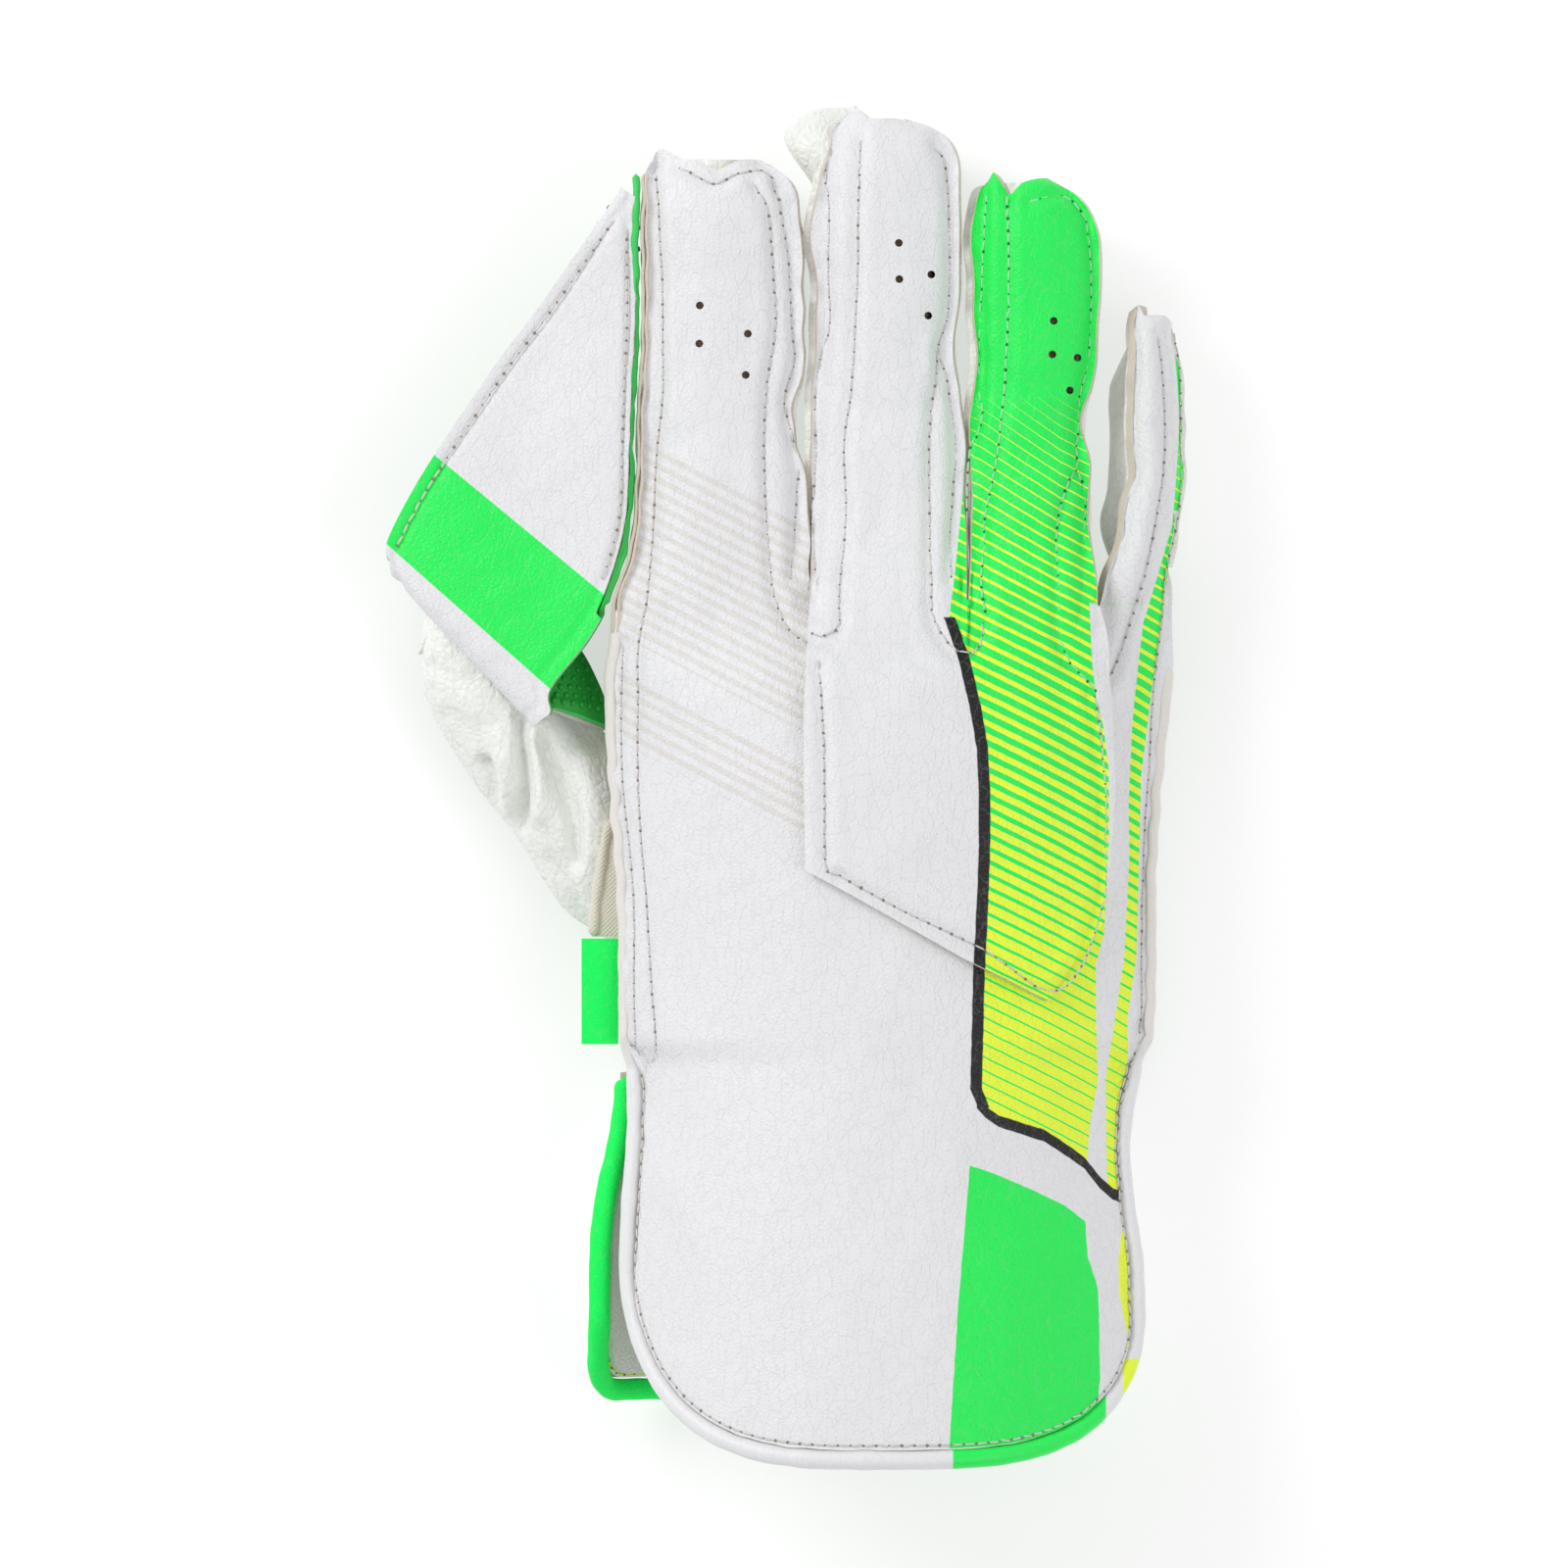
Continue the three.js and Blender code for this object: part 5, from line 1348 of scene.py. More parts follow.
def make_palm(context):
    sizes = in_scene(context)[0]
    columns = columns_for(FINGERS, PALM_STEP)
    rows = panel_rows(PALM_ROWS, PALM_ROWS)
    outer = panel_grid(columns, rows, palm_point)[0]
    outer[..., 2] += 0.12 * ripple(outer[..., 0], outer[..., 1], 30, 8) * smooth(outer[..., 2] / 2)
    inner = outer + np.array((0, 0, PALM_THICKNESS))
    green = finish(context, "palm_rubber")
    has = panel_cells(columns, rows, FINGERS)
    piece = shell("palm_facing", outer, inner, [green, finish(context, "rubber_edge")], has)
    settle(piece, "palm_rubber", "palm_rubber")

    places = []
    pitch = mm(sizes.pimple_pitch) * PALM_PIMPLE_SPREAD
    for finger in FINGERS:
        count = max(3, int((finger.width - 2 * PALM_INSET) / pitch))
        for row, run in enumerate(np.linspace(0.01, 1.98, int(PALM_PIMPLE_LENGTH / pitch))):
            across = -1 + 2 * (np.arange(count) + 0.25 + 0.5 * (row % 2)) / count
            places.append(palm_point(finger, across[across < 0.98], run))
    places = np.concatenate(places)
    ways = np.tile((0.0, 0.0, -1.0), (len(places), 1))
    make_pimples("palm_pimples", places + np.array((0, 0, 0.35)), ways, 1.15, 0.5, green, "palm_rubber")


# The sides of the fingers
def side_path(finger, side):
    """One side's path from the fingertip's middle to the crotch, with the way out of the finger."""
    outward = -1 if side == "left" else 1
    shares = np.array((1, 0.98, 0.94, 0.86, 0.76, 0.64, 0.52, 0.4, 0.27, 0.14, 0.03))
    tip_x = (finger.edge("left", 1) + finger.edge("right", 1)) / 2 + outward * CLEARANCE
    tip_y = CROTCH_Y + finger.length
    corner_x = finger.edge(side, 1)
    line = [(float(mix(tip_x, corner_x, share)), tip_y) for share in (0, 0.3, 0.55, 0.8)]
    line += [(float(finger.edge(side, share)), CROTCH_Y + share * finger.length) for share in shares]
    stations = []
    for i, place in enumerate(line):
        before, after = np.array(line[max(0, i - 1)]), np.array(line[min(len(line) - 1, i + 1)])
        tangent = unit(after - before)
        out = np.array((-tangent[1], tangent[0])) * outward
        if out[0] * outward < 0 and abs(out[1]) < 0.7:
            out = -out
        if i < 4:
            out = np.array((0.0, 1.0))
        stations.append((np.array(place), out, finger, finger))
    return stations


def under_back(finger, x, y):
    """Height of the underside of the back above a place beside a finger."""
    share = clamp01((y - CROTCH_Y) / finger.length)
    across = np.clip(finger.across(x, share), -1, 1)
    normal = back_normal(finger, across, np.minimum(1.97, 1 + share))
    height = back_height(finger, across, share_of(finger, across), y)
    return float(height - BACK_THICKNESS / normal[..., 2] - 0.1)


def gusset_section(station, bulge):
    """A gusset's profile from the edge of its seam allowance down to the palm."""
    place, out, finger, other = station
    flange = LITTLE_FLANGE if finger is LITTLE else FLANGE_WIDTH
    wall = flange + GUSSET_THICKNESS

    def at(inset, z):
        return (*(place - out * inset), z)

    top = min(under_back(finger, *place), under_back(other, *place))
    seam, inside = at(flange, 0), at(wall, 0)
    inner_top = min(top + 0.8, *(under_back(finger, *spot[:2]) for spot in (seam, inside)))
    tip_rise = palm_tip_rise((place[1] - CROTCH_Y) / (finger.length - PALM_INSET))
    bottom = palm_lift(place[1]) + FINGER_EDGE_RISE + tip_rise + PALM_THICKNESS - 1.2
    under = top - GUSSET_THICKNESS
    upper, lower = mix(bottom, under, 0.7), mix(bottom, under, 0.3)
    peek = ply_peek(station)
    outer = (
        at(-peek, under),
        at(flange, under),
        at(flange - bulge, upper),
        at(flange - bulge, lower),
        at(flange, bottom),
    )
    inner = (
        at(-peek, top),
        at(wall, inner_top),
        at(wall - bulge, upper),
        at(wall - bulge, lower),
        at(wall, bottom),
    )
    return outer, inner


def ply_peek(station):
    """How far the gusset's ply stands out from under the back, on the fingers' left sides."""
    place, out, finger, _ = station
    if finger is INDEX or out[0] > -0.5:
        return 0.2
    return 0.3 + 1.2 * smooth((place[1] - CROTCH_Y - 20) / 20)


MIDDLE_TIP_X = 19.0
MIDDLE_TIP_BULGE = ((150, 162, 167, 170.5), (0, 12.5, 10, 5))
GUSSET_ROWS = 5


def bulge_of(station):
    """How far a gusset's wall swells out past its seam."""
    place, out, finger, _ = station
    if finger is MIDDLE and place[0] < MIDDLE_TIP_X:
        return SIDE_BULGE + float(np.interp(place[1], *MIDDLE_TIP_BULGE))
    if finger is not LITTLE or out[0] >= -0.5:
        return SIDE_BULGE
    lean = LITTLE_LEAN * smooth((place[1] - CROTCH_Y) / BULGE_RUN)
    return mix(SIDE_BULGE, lean, smooth((CROTCH_Y + finger.length - place[1]) / BULGE_RUN))


def crotch_turn(before, after):
    """The short turn at the crotch between two fingers."""
    start, end = float(before.edge("right", 0)), float(after.edge("left", 0))
    stations = []
    for turn in (-0.8, -0.3, 0.3, 0.8):
        dip = 0.3 * (end - start) * (1 - turn * turn)
        place = np.array((mix(start, end, (turn + 1) / 2), CROTCH_Y - dip))
        out = unit(np.array((-turn, 1.2 - abs(turn))))
        finger, other = (before, after) if turn < 0 else (after, before)
        stations.append((place, out, finger, other))
    return stations


def make_gusset(context, name, stations, node, seed):
    sections = np.array([gusset_section(station, bulge_of(station)) for station in stations], float)
    grid = refine(refine(sections, GUSSET_ROWS, 0), 4, 2)
    at_lip = np.clip(1 - np.arange(grid.shape[2]) / 4, 0, 1)[None, None]

    def at_rows(values):
        return np.repeat(np.array(values), GUSSET_ROWS)[: len(grid)][:, None, None]

    side = at_rows([np.sign(station[1][0]) for station in stations])
    owners = at_rows([BACK_WAVE if station[2] in (INDEX, LITTLE) else OVERLAY_WAVE for station in stations])
    wave = mm(in_scene(context)[0].edge_wave)
    for seed_of in (BACK_WAVE, OVERLAY_WAVE):
        aside, up = seam_wave(grid[..., 1], side, seed_of)
        share = at_lip * (owners == seed_of) * wave
        grid[..., 0] += share * aside
        grid[..., 2] += share * up
    outer, inner = grid[:, 0], grid[:, 1]
    depth = 0.35 * ripple(outer[..., 1], outer[..., 2] * 0.5, 11, seed)
    slack = np.sin(np.linspace(0, math.pi, outer.shape[1]))[None, :]
    outer = outer - unit(outer - inner) * (np.abs(depth) * slack)[..., None]
    materials = [finish(context, "soft_leather"), finish(context, "raw_leather_edge")]
    settle(shell(name, outer, inner, materials), "soft_leather", node)


def make_finger_sides(context):
    for before, after, node, seed in (
        (INDEX, MIDDLE, "gusset_index_middle", 41),
        (MIDDLE, RING, "gusset_middle_ring", 42),
        (RING, LITTLE, "gusset_ring_little", 43),
    ):
        stations = [*side_path(before, "right"), *crotch_turn(before, after), *side_path(after, "left")[::-1]]
        make_gusset(context, "side_" + node, stations, node, seed)
    make_gusset(context, "side_of_index", side_path(INDEX, "left")[:-1], "index_side", 44)
    make_gusset(context, "side_of_little", side_path(LITTLE, "right")[:-1], "little_side", 45)


# The sides of the hand
SIDE_SEAM_INSET = 0.6
SIDE_BOW = 1.8
SEAM_ROW = 0.95
FLAP_HEIGHT = 27.4
FLAP_THICKNESS = 1.0
FLAP_EDGE = (1.3, 1.5)
FLAP_LINE = ((-44.6, -9), (-46, -14), (-47.4, -22), (-48.6, -30), (-49.3, -39))
WINDOW_LOW = THUMB_ROOT_Y - THUMB_BREADTH * 0.42
WINDOW_HIGH = THUMB_ROOT_Y + THUMB_BREADTH * 0.32


def make_hand_side(name, side, material, edge, slot, node):
    inwards = 1 if side == "left" else -1
    finger, across, share = (INDEX, -1.0, 0.0) if side == "left" else (LITTLE, 1.0, 1.0)
    end = PALM_CUFF_START + CLEARANCE
    above = np.linspace(WINDOW_HIGH + 22, WINDOW_HIGH, 15)
    beside = np.linspace(WINDOW_HIGH, WINDOW_LOW, 30)[1:]
    below = np.linspace(WINDOW_LOW, end, 26)[1:]
    y = np.concatenate([above, beside, below])[:, None]
    heights = np.concatenate([np.linspace(0, 0.8, 13), [0.88, SEAM_ROW, 1]])[None, :]
    edge_x = hand_edge(side, y)
    top = back_height(finger, across, share, y) - BACK_THICKNESS - CLEARANCE
    rise = mix(PALM_EDGE_RISE, FINGER_EDGE_RISE, smooth((y - CROTCH_Y) / KNUCKLE_BLEND + 1))
    bottom = palm_lift(y) + rise + PALM_THICKNESS - 0.8
    level = np.minimum(1, heights / SEAM_ROW)
    bow = np.sin(math.pi * level) * (SIDE_BOW + 0.3 * ripple(y, heights * 30, 14, 51))
    inset = PALM_INSET + 2 * CLEARANCE - bow
    is_lip = heights == 1
    lip_inset = SIDE_SEAM_INSET + roll_room(y)
    outer_inset = np.where(is_lip, lip_inset, inset)
    inner_inset = np.where(is_lip, lip_inset, inset + GUSSET_THICKNESS)
    outer = points(edge_x + inwards * outer_inset, y, mix(bottom, top - GUSSET_THICKNESS, level))
    inner = points(edge_x + inwards * inner_inset, y, mix(bottom, top, level))
    has = np.ones((outer.shape[0] - 1, outer.shape[1] - 1), bool)
    if side == "left":
        has[len(above) - 1 : len(above) + len(beside) - 1, 1:12] = False
    piece = shell(name, outer, inner, [material, edge], has)
    settle(piece, slot, node)
    return piece


def make_hand_sides(context):
    cream = finish(context, "cream_cloth")
    side = make_hand_side("cloth_beside_thumb", "left", cream, cream, "cream_cloth", "thumb_side_gusset")
    line = refine([(*spot, FLAP_HEIGHT) for spot in FLAP_LINE], 6)
    make_cord("cloth_raw_edge", line, *FLAP_EDGE, cream, "cream_cloth", 0.12)
    edge_x = hand_edge("left", line[:, 1]) + 1.5
    share = np.linspace(0, 1, 8)[None, :]
    z = FLAP_HEIGHT - 0.2 + 0.8 * share
    flat = points(mix(line[:, 0:1], edge_x[:, None], share), line[:, 1:2], z)
    flap = shell("cloth_flap", flat, flat - np.array((0, 0, FLAP_THICKNESS)), [cream])
    settle(flap, "cream_cloth")
    white, edge = finish(context, "white_leather"), finish(context, "raw_leather_edge")
    make_hand_side("leather_beside_little", "right", white, edge, "white_leather", "little_side_gusset")


# The thumb
THUMB_ROOT_X = float(hand_edge("left", THUMB_ROOT_Y)) + 1.2
THUMB_TIP_SPAN = 0.09
THUMB_LEATHER_GRID = (130, 100)
THUMB_RUBBER_GRID = (60, 48)
THUMB_TIP_REACH = 1.4
THUMB_FOLDS = (
    (((-67.5, 16), (-67.2, 6), (-67.8, -4), (-68.6, -12)), 4.6, 1.8),
    (((-62, 10), (-57.5, 1), (-54.4, -10), (-54, -20)), 3.8, 2.2),
    (((-77.5, 5), (-75, -2), (-75.5, -9)), 2.9, 1.8),
    (((-52, 6), (-49.6, -6), (-52, -20)), -1.4, 3.0),
    (((-65, 12), (-62.8, 4), (-62.4, -8)), -2.0, 2.0),
    (((-72.6, 6), (-71.4, -2), (-72, -10)), -1.4, 2.0),
    (((-86, 18), (-80, 14), (-74, 16)), 0.8, 2.6),
    (((-60, -20), (-55, -28), (-51, -36)), 1.4, 2.2),
    (((-90, 30), (-84, 26), (-80, 28)), 0.6, 2.4),
    (((-58, 22), (-52, 14), (-47, 10)), 1.2, 2.6),
    (((-72, 26), (-66, 22), (-60, 25)), 0.6, 2.4),
)


def thumb_point(share, across, top):
    """Points of the thumb stall: its leather back if top, else its rubber facing."""
    low_x = THUMB_ROOT_X - THUMB_REACH * along(THUMB_SECTIONS, np.minimum(share, 1), "low_out")
    low_y = THUMB_ROOT_Y + THUMB_BREADTH * along(THUMB_SECTIONS, share, "low")
    high_x = THUMB_ROOT_X - THUMB_REACH * along(THUMB_SECTIONS, share, "high_out")
    high_y = THUMB_ROOT_Y + THUMB_BREADTH * along(THUMB_SECTIONS, share, "high")
    over = clamp01((share - 1) / THUMB_TIP_SPAN) * math.pi / 2
    low_x = low_x - THUMB_TIP_REACH * np.sin(over)
    high_x = high_x - THUMB_TIP_REACH * np.sin(over)
    full = along(THUMB_SECTIONS, share, "full") * np.cos(over)
    middleward = (across + 1) / 2
    if top:
        dome = THUMB_CROWN * full * (1 - np.abs(across) ** 2.6)
    else:
        dome = -(THUMB_SEAM - CLEARANCE) * (0.55 + 0.45 * full) * (1 - np.abs(across) ** 5) * np.cos(over)
    return points(mix(low_x, high_x, middleward), mix(low_y, high_y, middleward), THUMB_SEAM + dome)


def thumb_grid(top, rows, columns):
    """Outer and inner points of one half of the thumb, with normals and places across it."""
    share = np.linspace(0, 1 + THUMB_TIP_SPAN, rows)[:, None]
    across = np.sin(np.linspace(-math.pi / 2, math.pi / 2, columns))[None, :]
    outer = thumb_point(share, across, top)
    inside, safe = np.broadcast_arrays(np.clip(share, 0.03, 0.97), np.clip(across, -0.9, 0.9))
    way = 1 if top else -1
    normal = way * surface_normal(lambda a, b: thumb_point(a, b, top), inside, safe, 0.02, 0.04)
    inner = outer - normal * THUMB_THICKNESS
    limit = THUMB_SEAM + way * CLEARANCE / 2
    keep = np.maximum if top else np.minimum
    at_edge = (np.abs(across) > 0.999) | (share > 1 + THUMB_TIP_SPAN - 1e-6)
    inner[..., 2] = np.where(at_edge, limit + way * THUMB_THICKNESS / 2, keep(inner[..., 2], limit))
    outer[..., 2] += way * CLEARANCE / 2
    return outer, inner, normal, across


def make_thumb(context):
    sizes = in_scene(context)[0]
    outer, inner, normal, across = thumb_grid(True, *THUMB_LEATHER_GRID)
    x, y = outer[..., 0], outer[..., 1]
    change = 0.35 * ripple(x, y, 16, 61) + 0.16 * ripple(x, y, 6, 62) + 0.1 * ripple(x, y, 2.8, 63)
    for fold in THUMB_FOLDS:
        change = change - groove(fold[0], x, y, *fold[1:])
    free = smooth((1 - np.abs(across)) / 0.25)
    outer = outer + normal * (change * free)[..., None]
    inner = inner + normal * (np.minimum(change, 0) * free)[..., None]
    inner[..., 2] = np.maximum(inner[..., 2], THUMB_SEAM + CLEARANCE / 2)
    materials = [finish(context, "soft_leather"), finish(context, "raw_leather_edge")]
    settle(shell("thumb_leather", outer, inner, materials), "soft_leather", "thumb_back")
    outer, inner, normal, _ = thumb_grid(False, *THUMB_RUBBER_GRID)
    materials = [finish(context, "palm_rubber"), finish(context, "rubber_edge")]
    settle(shell("thumb_facing", outer, inner, materials), "palm_rubber", "thumb_rubber")
    places, ways = (grid[4:-6:2, 10:-10:2].reshape(-1, 3) for grid in (outer, normal))
    radius = mm(sizes.pimple_pitch) * PALM_PIMPLE_SPREAD * 0.3
    make_pimples("thumb_pimples", places, ways, radius, 0.5, materials[0], "palm_rubber")


# The web
WEB_FOLD_HEM = {"x": -0.97, "y": 0.111, "z": 0.745, "radius": 0.6, "dir_x": 0.1, "dir_y": -1}
WEB_FOLD_SEAM = {"x": -0.332, "y": -0.246, "z": 0.855, "radius": 1, "dir_x": -0.73, "dir_y": -0.683}
WEB_UNDER_HEM = (-0.84, 0.05, 0.43)
WEB_UNDER_SEAM = (-0.13, -0.29, 0.5)
WEB_SEAM_ROW_END = 52.0
WEB_TURNS = 6
WEB_UNDER_ROWS = 3
WEB_FINE_ROWS = 8
SEAM_PLY_RUN = (156, 38)
SEAM_PLY_SIZE = (0.48, 0.9)
SEAM_RUBBER_SIZE = (0.95, 1.1)
WEB_HEM_ROW = 3.2
WEB_SEAM_ROW = 3.6
WEB_BAND = (((-89.6, 84), (-44.1, 46.5)), ((-101.6, 61), (-60.1, 24.3)))


def web_seam_x(y):
    return INDEX.edge("left", clamp01((y - CROTCH_Y) / INDEX.length)) - CLEARANCE - 0.4


def web_table_point(row, across):
    entry = {column: values[row] for column, values in WEB_ROWS.items()}
    out = entry["seam_out"]
    seam_y = CROTCH_Y + WEB_HEIGHT * entry["seam_up"]
    seam_x = WEB_ANCHOR_X - WEB_REACH * out if out > 0 else float(web_seam_x(seam_y))
    hem_x = WEB_ANCHOR_X - WEB_REACH * entry["hem_out"]
    hem = np.array((hem_x, CROTCH_Y + WEB_HEIGHT * entry["hem_up"], WEB_LIFT * entry["hem_lift"]))
    return mix(hem, np.array((seam_x, seam_y, WEB_LIFT * entry["seam_lift"])), across[:, None])


def web_curl_point(turn, across):
    def place(name):
        return mix(WEB_FOLD_HEM[name], WEB_FOLD_SEAM[name], across)

    radius = WEB_CURL * place("radius")
    reach = radius * math.sin(turn)
    return points(
        WEB_ANCHOR_X + WEB_REACH * place("x") + reach * place("dir_x"),
        CROTCH_Y + WEB_HEIGHT * place("y") + reach * place("dir_y"),
        WEB_LIFT * place("z") + radius * math.cos(turn),
    )


def web_under_point(share, across):
    start = web_curl_point(math.pi, across)
    bow = WEB_BOW * 4 * across * (1 - across)
    under = [mix(a, b, across) for a, b in zip(WEB_UNDER_HEM, WEB_UNDER_SEAM)]
    end = points(
        WEB_ANCHOR_X + WEB_REACH * under[0] - bow * WEB_FOLD_SEAM["dir_x"],
        CROTCH_Y + WEB_HEIGHT * under[1] - bow * WEB_FOLD_SEAM["dir_y"],
        WEB_LIFT * under[2],
    )
    place = mix(start, end, share)
    place[..., 2] = mix(start[..., 2], end[..., 2], share**1.8)
    return place


def web_surface(columns):
    """The web's outer surface: the flat part, its curl and the part under it, with inward normals."""
    across = np.linspace(0, 1, columns)
    rows = [web_table_point(row, across) for row in range(len(WEB_ROWS["at"]))]
    rows += [web_curl_point(math.pi * turn / WEB_TURNS, across) for turn in range(WEB_TURNS + 1)]
    rows += [web_under_point((row + 1) / WEB_UNDER_ROWS, across) for row in range(WEB_UNDER_ROWS)]
    grid = refine(np.array(rows), WEB_FINE_ROWS, 0)
    down, over = np.gradient(grid, axis=(0, 1))[:2]
    return grid, unit(-np.cross(down, over)), across


def web_print(colours):
    def paint(graph, x, y, under):
        z = graph.parts(graph.object_point(), "Z") / MM

        def side_of(line):
            (ax, ay), (bx, by) = line
            length = math.hypot(bx - ax, by - ay)
            return (x - ax) * ((by - ay) / length) - (y - ay) * ((bx - ax) / length)

        upper, lower = (side_of(line) for line in WEB_BAND)
        band = graph.step(upper, 0.0) * graph.before(lower, 0.0) * graph.step(z, 26.0, 0.5)
        return graph.paint(band, under, rgba(colours.green))

    return paint


def make_cord(name, line, radius, height, material, slot, lumps=0.08):
    """A thin raw edge or cord along points, seen from above."""
    places, ups = even_line(np.asarray(line, float), np.tile((0.0, 0.0, 1.0), (len(line), 1)))
    piece = roll(name, places, sideways(places, ups), ups, radius, height, [material], lumps)
    settle(piece, slot)


def make_seam_plies(context):
    """The green and beige plies that stand up between the web and the index finger."""
    y = np.linspace(*SEAM_PLY_RUN, 63)
    edge = INDEX.edge("left", clamp01((y - CROTCH_Y) / INDEX.length))
    top = back_height(INDEX, -1.0, 0.0, y)
    green = points(edge - 1.6 + 0.35 * ripple(y, y, 9, 76), y, top + 0.4)
    bright = finish(context, "rubber_edge")
    make_cord("web_seam_rubber", green[y > CROTCH_Y], *SEAM_RUBBER_SIZE, bright, "palm_rubber")
    beige = finish(context, "raw_leather_edge")
    for name, offset, seed in (("web_seam_ply", 0.3, 77), ("index_seam_ply", 1.3, 78)):
        x = edge + offset + 0.3 * ripple(y, y, 11, seed)
        line = points(x, y, top + 0.7 + 0.2 * ripple(y, y, 8, seed))
        make_cord(name, line, *SEAM_PLY_SIZE, beige, "soft_leather")


def make_web(context):
    sizes, colours = in_scene(context)
    grid, inwards, across = web_surface(70)
    x, y = grid[..., 0], grid[..., 1]
    slack = np.sin(math.pi * across)[None, :]
    change = (0.9 * ripple(x, y, 55, 71) + 0.25 * ripple(x, y, 14, 72)) * slack
    width = np.linalg.norm(grid[:, -1] - grid[:, 0], axis=1)[:, None]
    for share, inset, depth in ((across, WEB_HEM_ROW, 0.6), (1 - across, WEB_SEAM_ROW, 0.5)):
        change = change - depth * np.exp(-((share[None, :] * width - inset) ** 2) / 1.6)
    pull = smooth((across - 0.97) / 0.03)[None, :] * np.where(y > CROTCH_Y - 2, 1.9, 0.0)
    outer = grid - inwards * change[..., None]
    outer[..., 0] -= pull
    white = printed_leather(context, "web_leather", web_print(colours))
    materials = [white, finish(context, "raw_leather_edge")]
    piece = shell("web_leather_ply", outer, outer + inwards * WEB_LEATHER, materials)
    settle(piece, "white_leather", "web_leather")

    start = WEB_LEATHER + CLEARANCE
    lip = smooth((across - 0.965) / 0.02)[None, :] * np.where(y > CROTCH_Y - 1, 1.0, 0.0)
    rise = lip * (WEB_LEATHER + 0.6 + 0.3 * ripple(y, 0 * y, 8, 73))
    outer = grid + inwards * (start - change - rise)[..., None]
    outer[..., 0] -= 0.5 * lip + 0.25 * lip * ripple(y, 0 * y, 7, 74)
    inner = outer + inwards * (WEB_RUBBER - 0.2 * lip)[..., None]
    green = rubber("web_rubber_face", colours.web_rubber)
    piece = shell("web_rubber_ply", outer, inner, [green, finish(context, "rubber_edge")])
    settle(piece, "palm_rubber", "web_rubber")
    places, ways = (each[4:-2:3, 2:-3:3].reshape(-1, 3) for each in (inner, inwards))
    make_pimples("web_pimples", places, ways, 0.95, mm(sizes.pimple_height), green, "palm_rubber")
    make_seam_plies(context)


# The cuff
def palm_cuff_point(turn, y, depth):
    spread = smooth((PALM_CUFF_START - y) / 45)
    left = hand_edge("left", y) - 4.4 * spread + depth
    right = hand_edge("right", y) - np.maximum(PALM_INSET, roll_room(y) + 3) - depth
    left_top = 22 + 8 * spread
    right_top = hand_height("right_seam", y) - BACK_THICKNESS * 1.3 - CLEARANCE
    cosine = np.cos(math.pi * turn)
    across = (np.sign(cosine) * np.abs(cosine) ** 0.55 + 1) / 2
    fall = np.maximum(0, np.sin(math.pi * turn)) ** 0.55
    bottom = depth + (PALM_ROLL - PALM_CUFF_THICKNESS / 2) * smooth((PALM_CUFF_START - y) / 60)
    return points(mix(left, right, across), y, mix(mix(left_top, right_top, across), bottom, fall))


def palm_cuff_end(turn):
    def corner(share):
        return 1 - np.sqrt(1 - clamp01(1 - share / 0.16) ** 2)

    return PALM_CUFF_END + 17 * (corner(1 - turn) + corner(turn))


def make_palm_cuff(context):
    turn = np.linspace(0, 1, 130)
    turn = (turn + 0.12 * np.sin(4 * math.pi * turn) / (4 * math.pi) * 2)[None, :]
    row = np.linspace(0, 1, 60)[:, None]
    white, towelling = finish(context, "white_leather"), finish(context, "towelling")
    edge = finish(context, "raw_leather_edge")
    behind = PALM_CUFF_THICKNESS + CLEARANCE
    plies = (
        ("palm_cuff_leather", 0, PALM_CUFF_THICKNESS, 0, [white, edge], "white_leather", "palm_cuff"),
        ("cuff_towelling", behind, LINING_THICKNESS, 1, [towelling], "lining_cloth", "cuff_lining"),
    )
    for name, depth, thickness, inset, materials, slot, node in plies:
        y = mix(PALM_CUFF_START, palm_cuff_end(turn) + inset, row)
        outer = palm_cuff_point(turn, y, depth)
        inner = palm_cuff_point(turn, y, depth + thickness)
        wave = 0.3 * ripple(outer[..., 0] + outer[..., 2], outer[..., 1], 24, 81)[..., None]
        outer = outer + unit(inner - outer) * np.abs(wave)
        piece = shell(name, outer, inner, materials)
        settle(piece, slot, node)


# Bindings and tag
TONGUE_TOP = -64.5
PLY_TOPS = (44.9, 30.0)
PLY_SIZE = (1.55, 0.95)
PLY_INSET = 1.25


def back_edge(left_top=TONGUE_TOP, right_top=TONGUE_TOP):
    """The back's edge from one side down round the cuff to the other, with normals."""
    down = np.linspace(left_top, float(cuff_end(0.0)), 130)[:-1]
    shares = (1 - np.cos(np.linspace(0, math.pi, 160))) / 2
    up = np.linspace(float(cuff_end(1.0)), right_top, 130)[1:]
    stations = [(INDEX, -1.0, float(hand_run(y, 0.0))) for y in down]
    stations += [(*finger_at(share), 0.0) for share in shares]
    stations += [(LITTLE, 1.0, float(hand_run(y, 1.0))) for y in up]
    normals = np.array([back_normal(*station) for station in stations])
    places = np.array([back_point(*station) for station in stations])
    return places - normals * BACK_THICKNESS / 2, normals


def binding_print(colours):
    def paint(graph, x, y, under):
        under = graph.paint(graph.step(y, -68.0, 4.0) * 0.45, under, rgba(colours.raw_edge))
        green = graph.between(x, 42.2, 81.4, 0.2) * graph.before(y, -150.0, 0.2)
        yellow = graph.step(x, 85.9, 0.2) * graph.between(y, -157.6, -146.4, 0.2)
        painted = graph.paint(green, under, rgba(colours.green))
        return graph.paint(yellow, painted, rgba(colours.yellow))

    return paint


def even_line(places, normals, step=1.0):
    """The same line with its points at an even step."""
    distance = run_along(places)
    at = np.linspace(0, distance[-1], int(distance[-1] / step))
    return read_along(places, distance, at), unit(read_along(normals, distance, at))


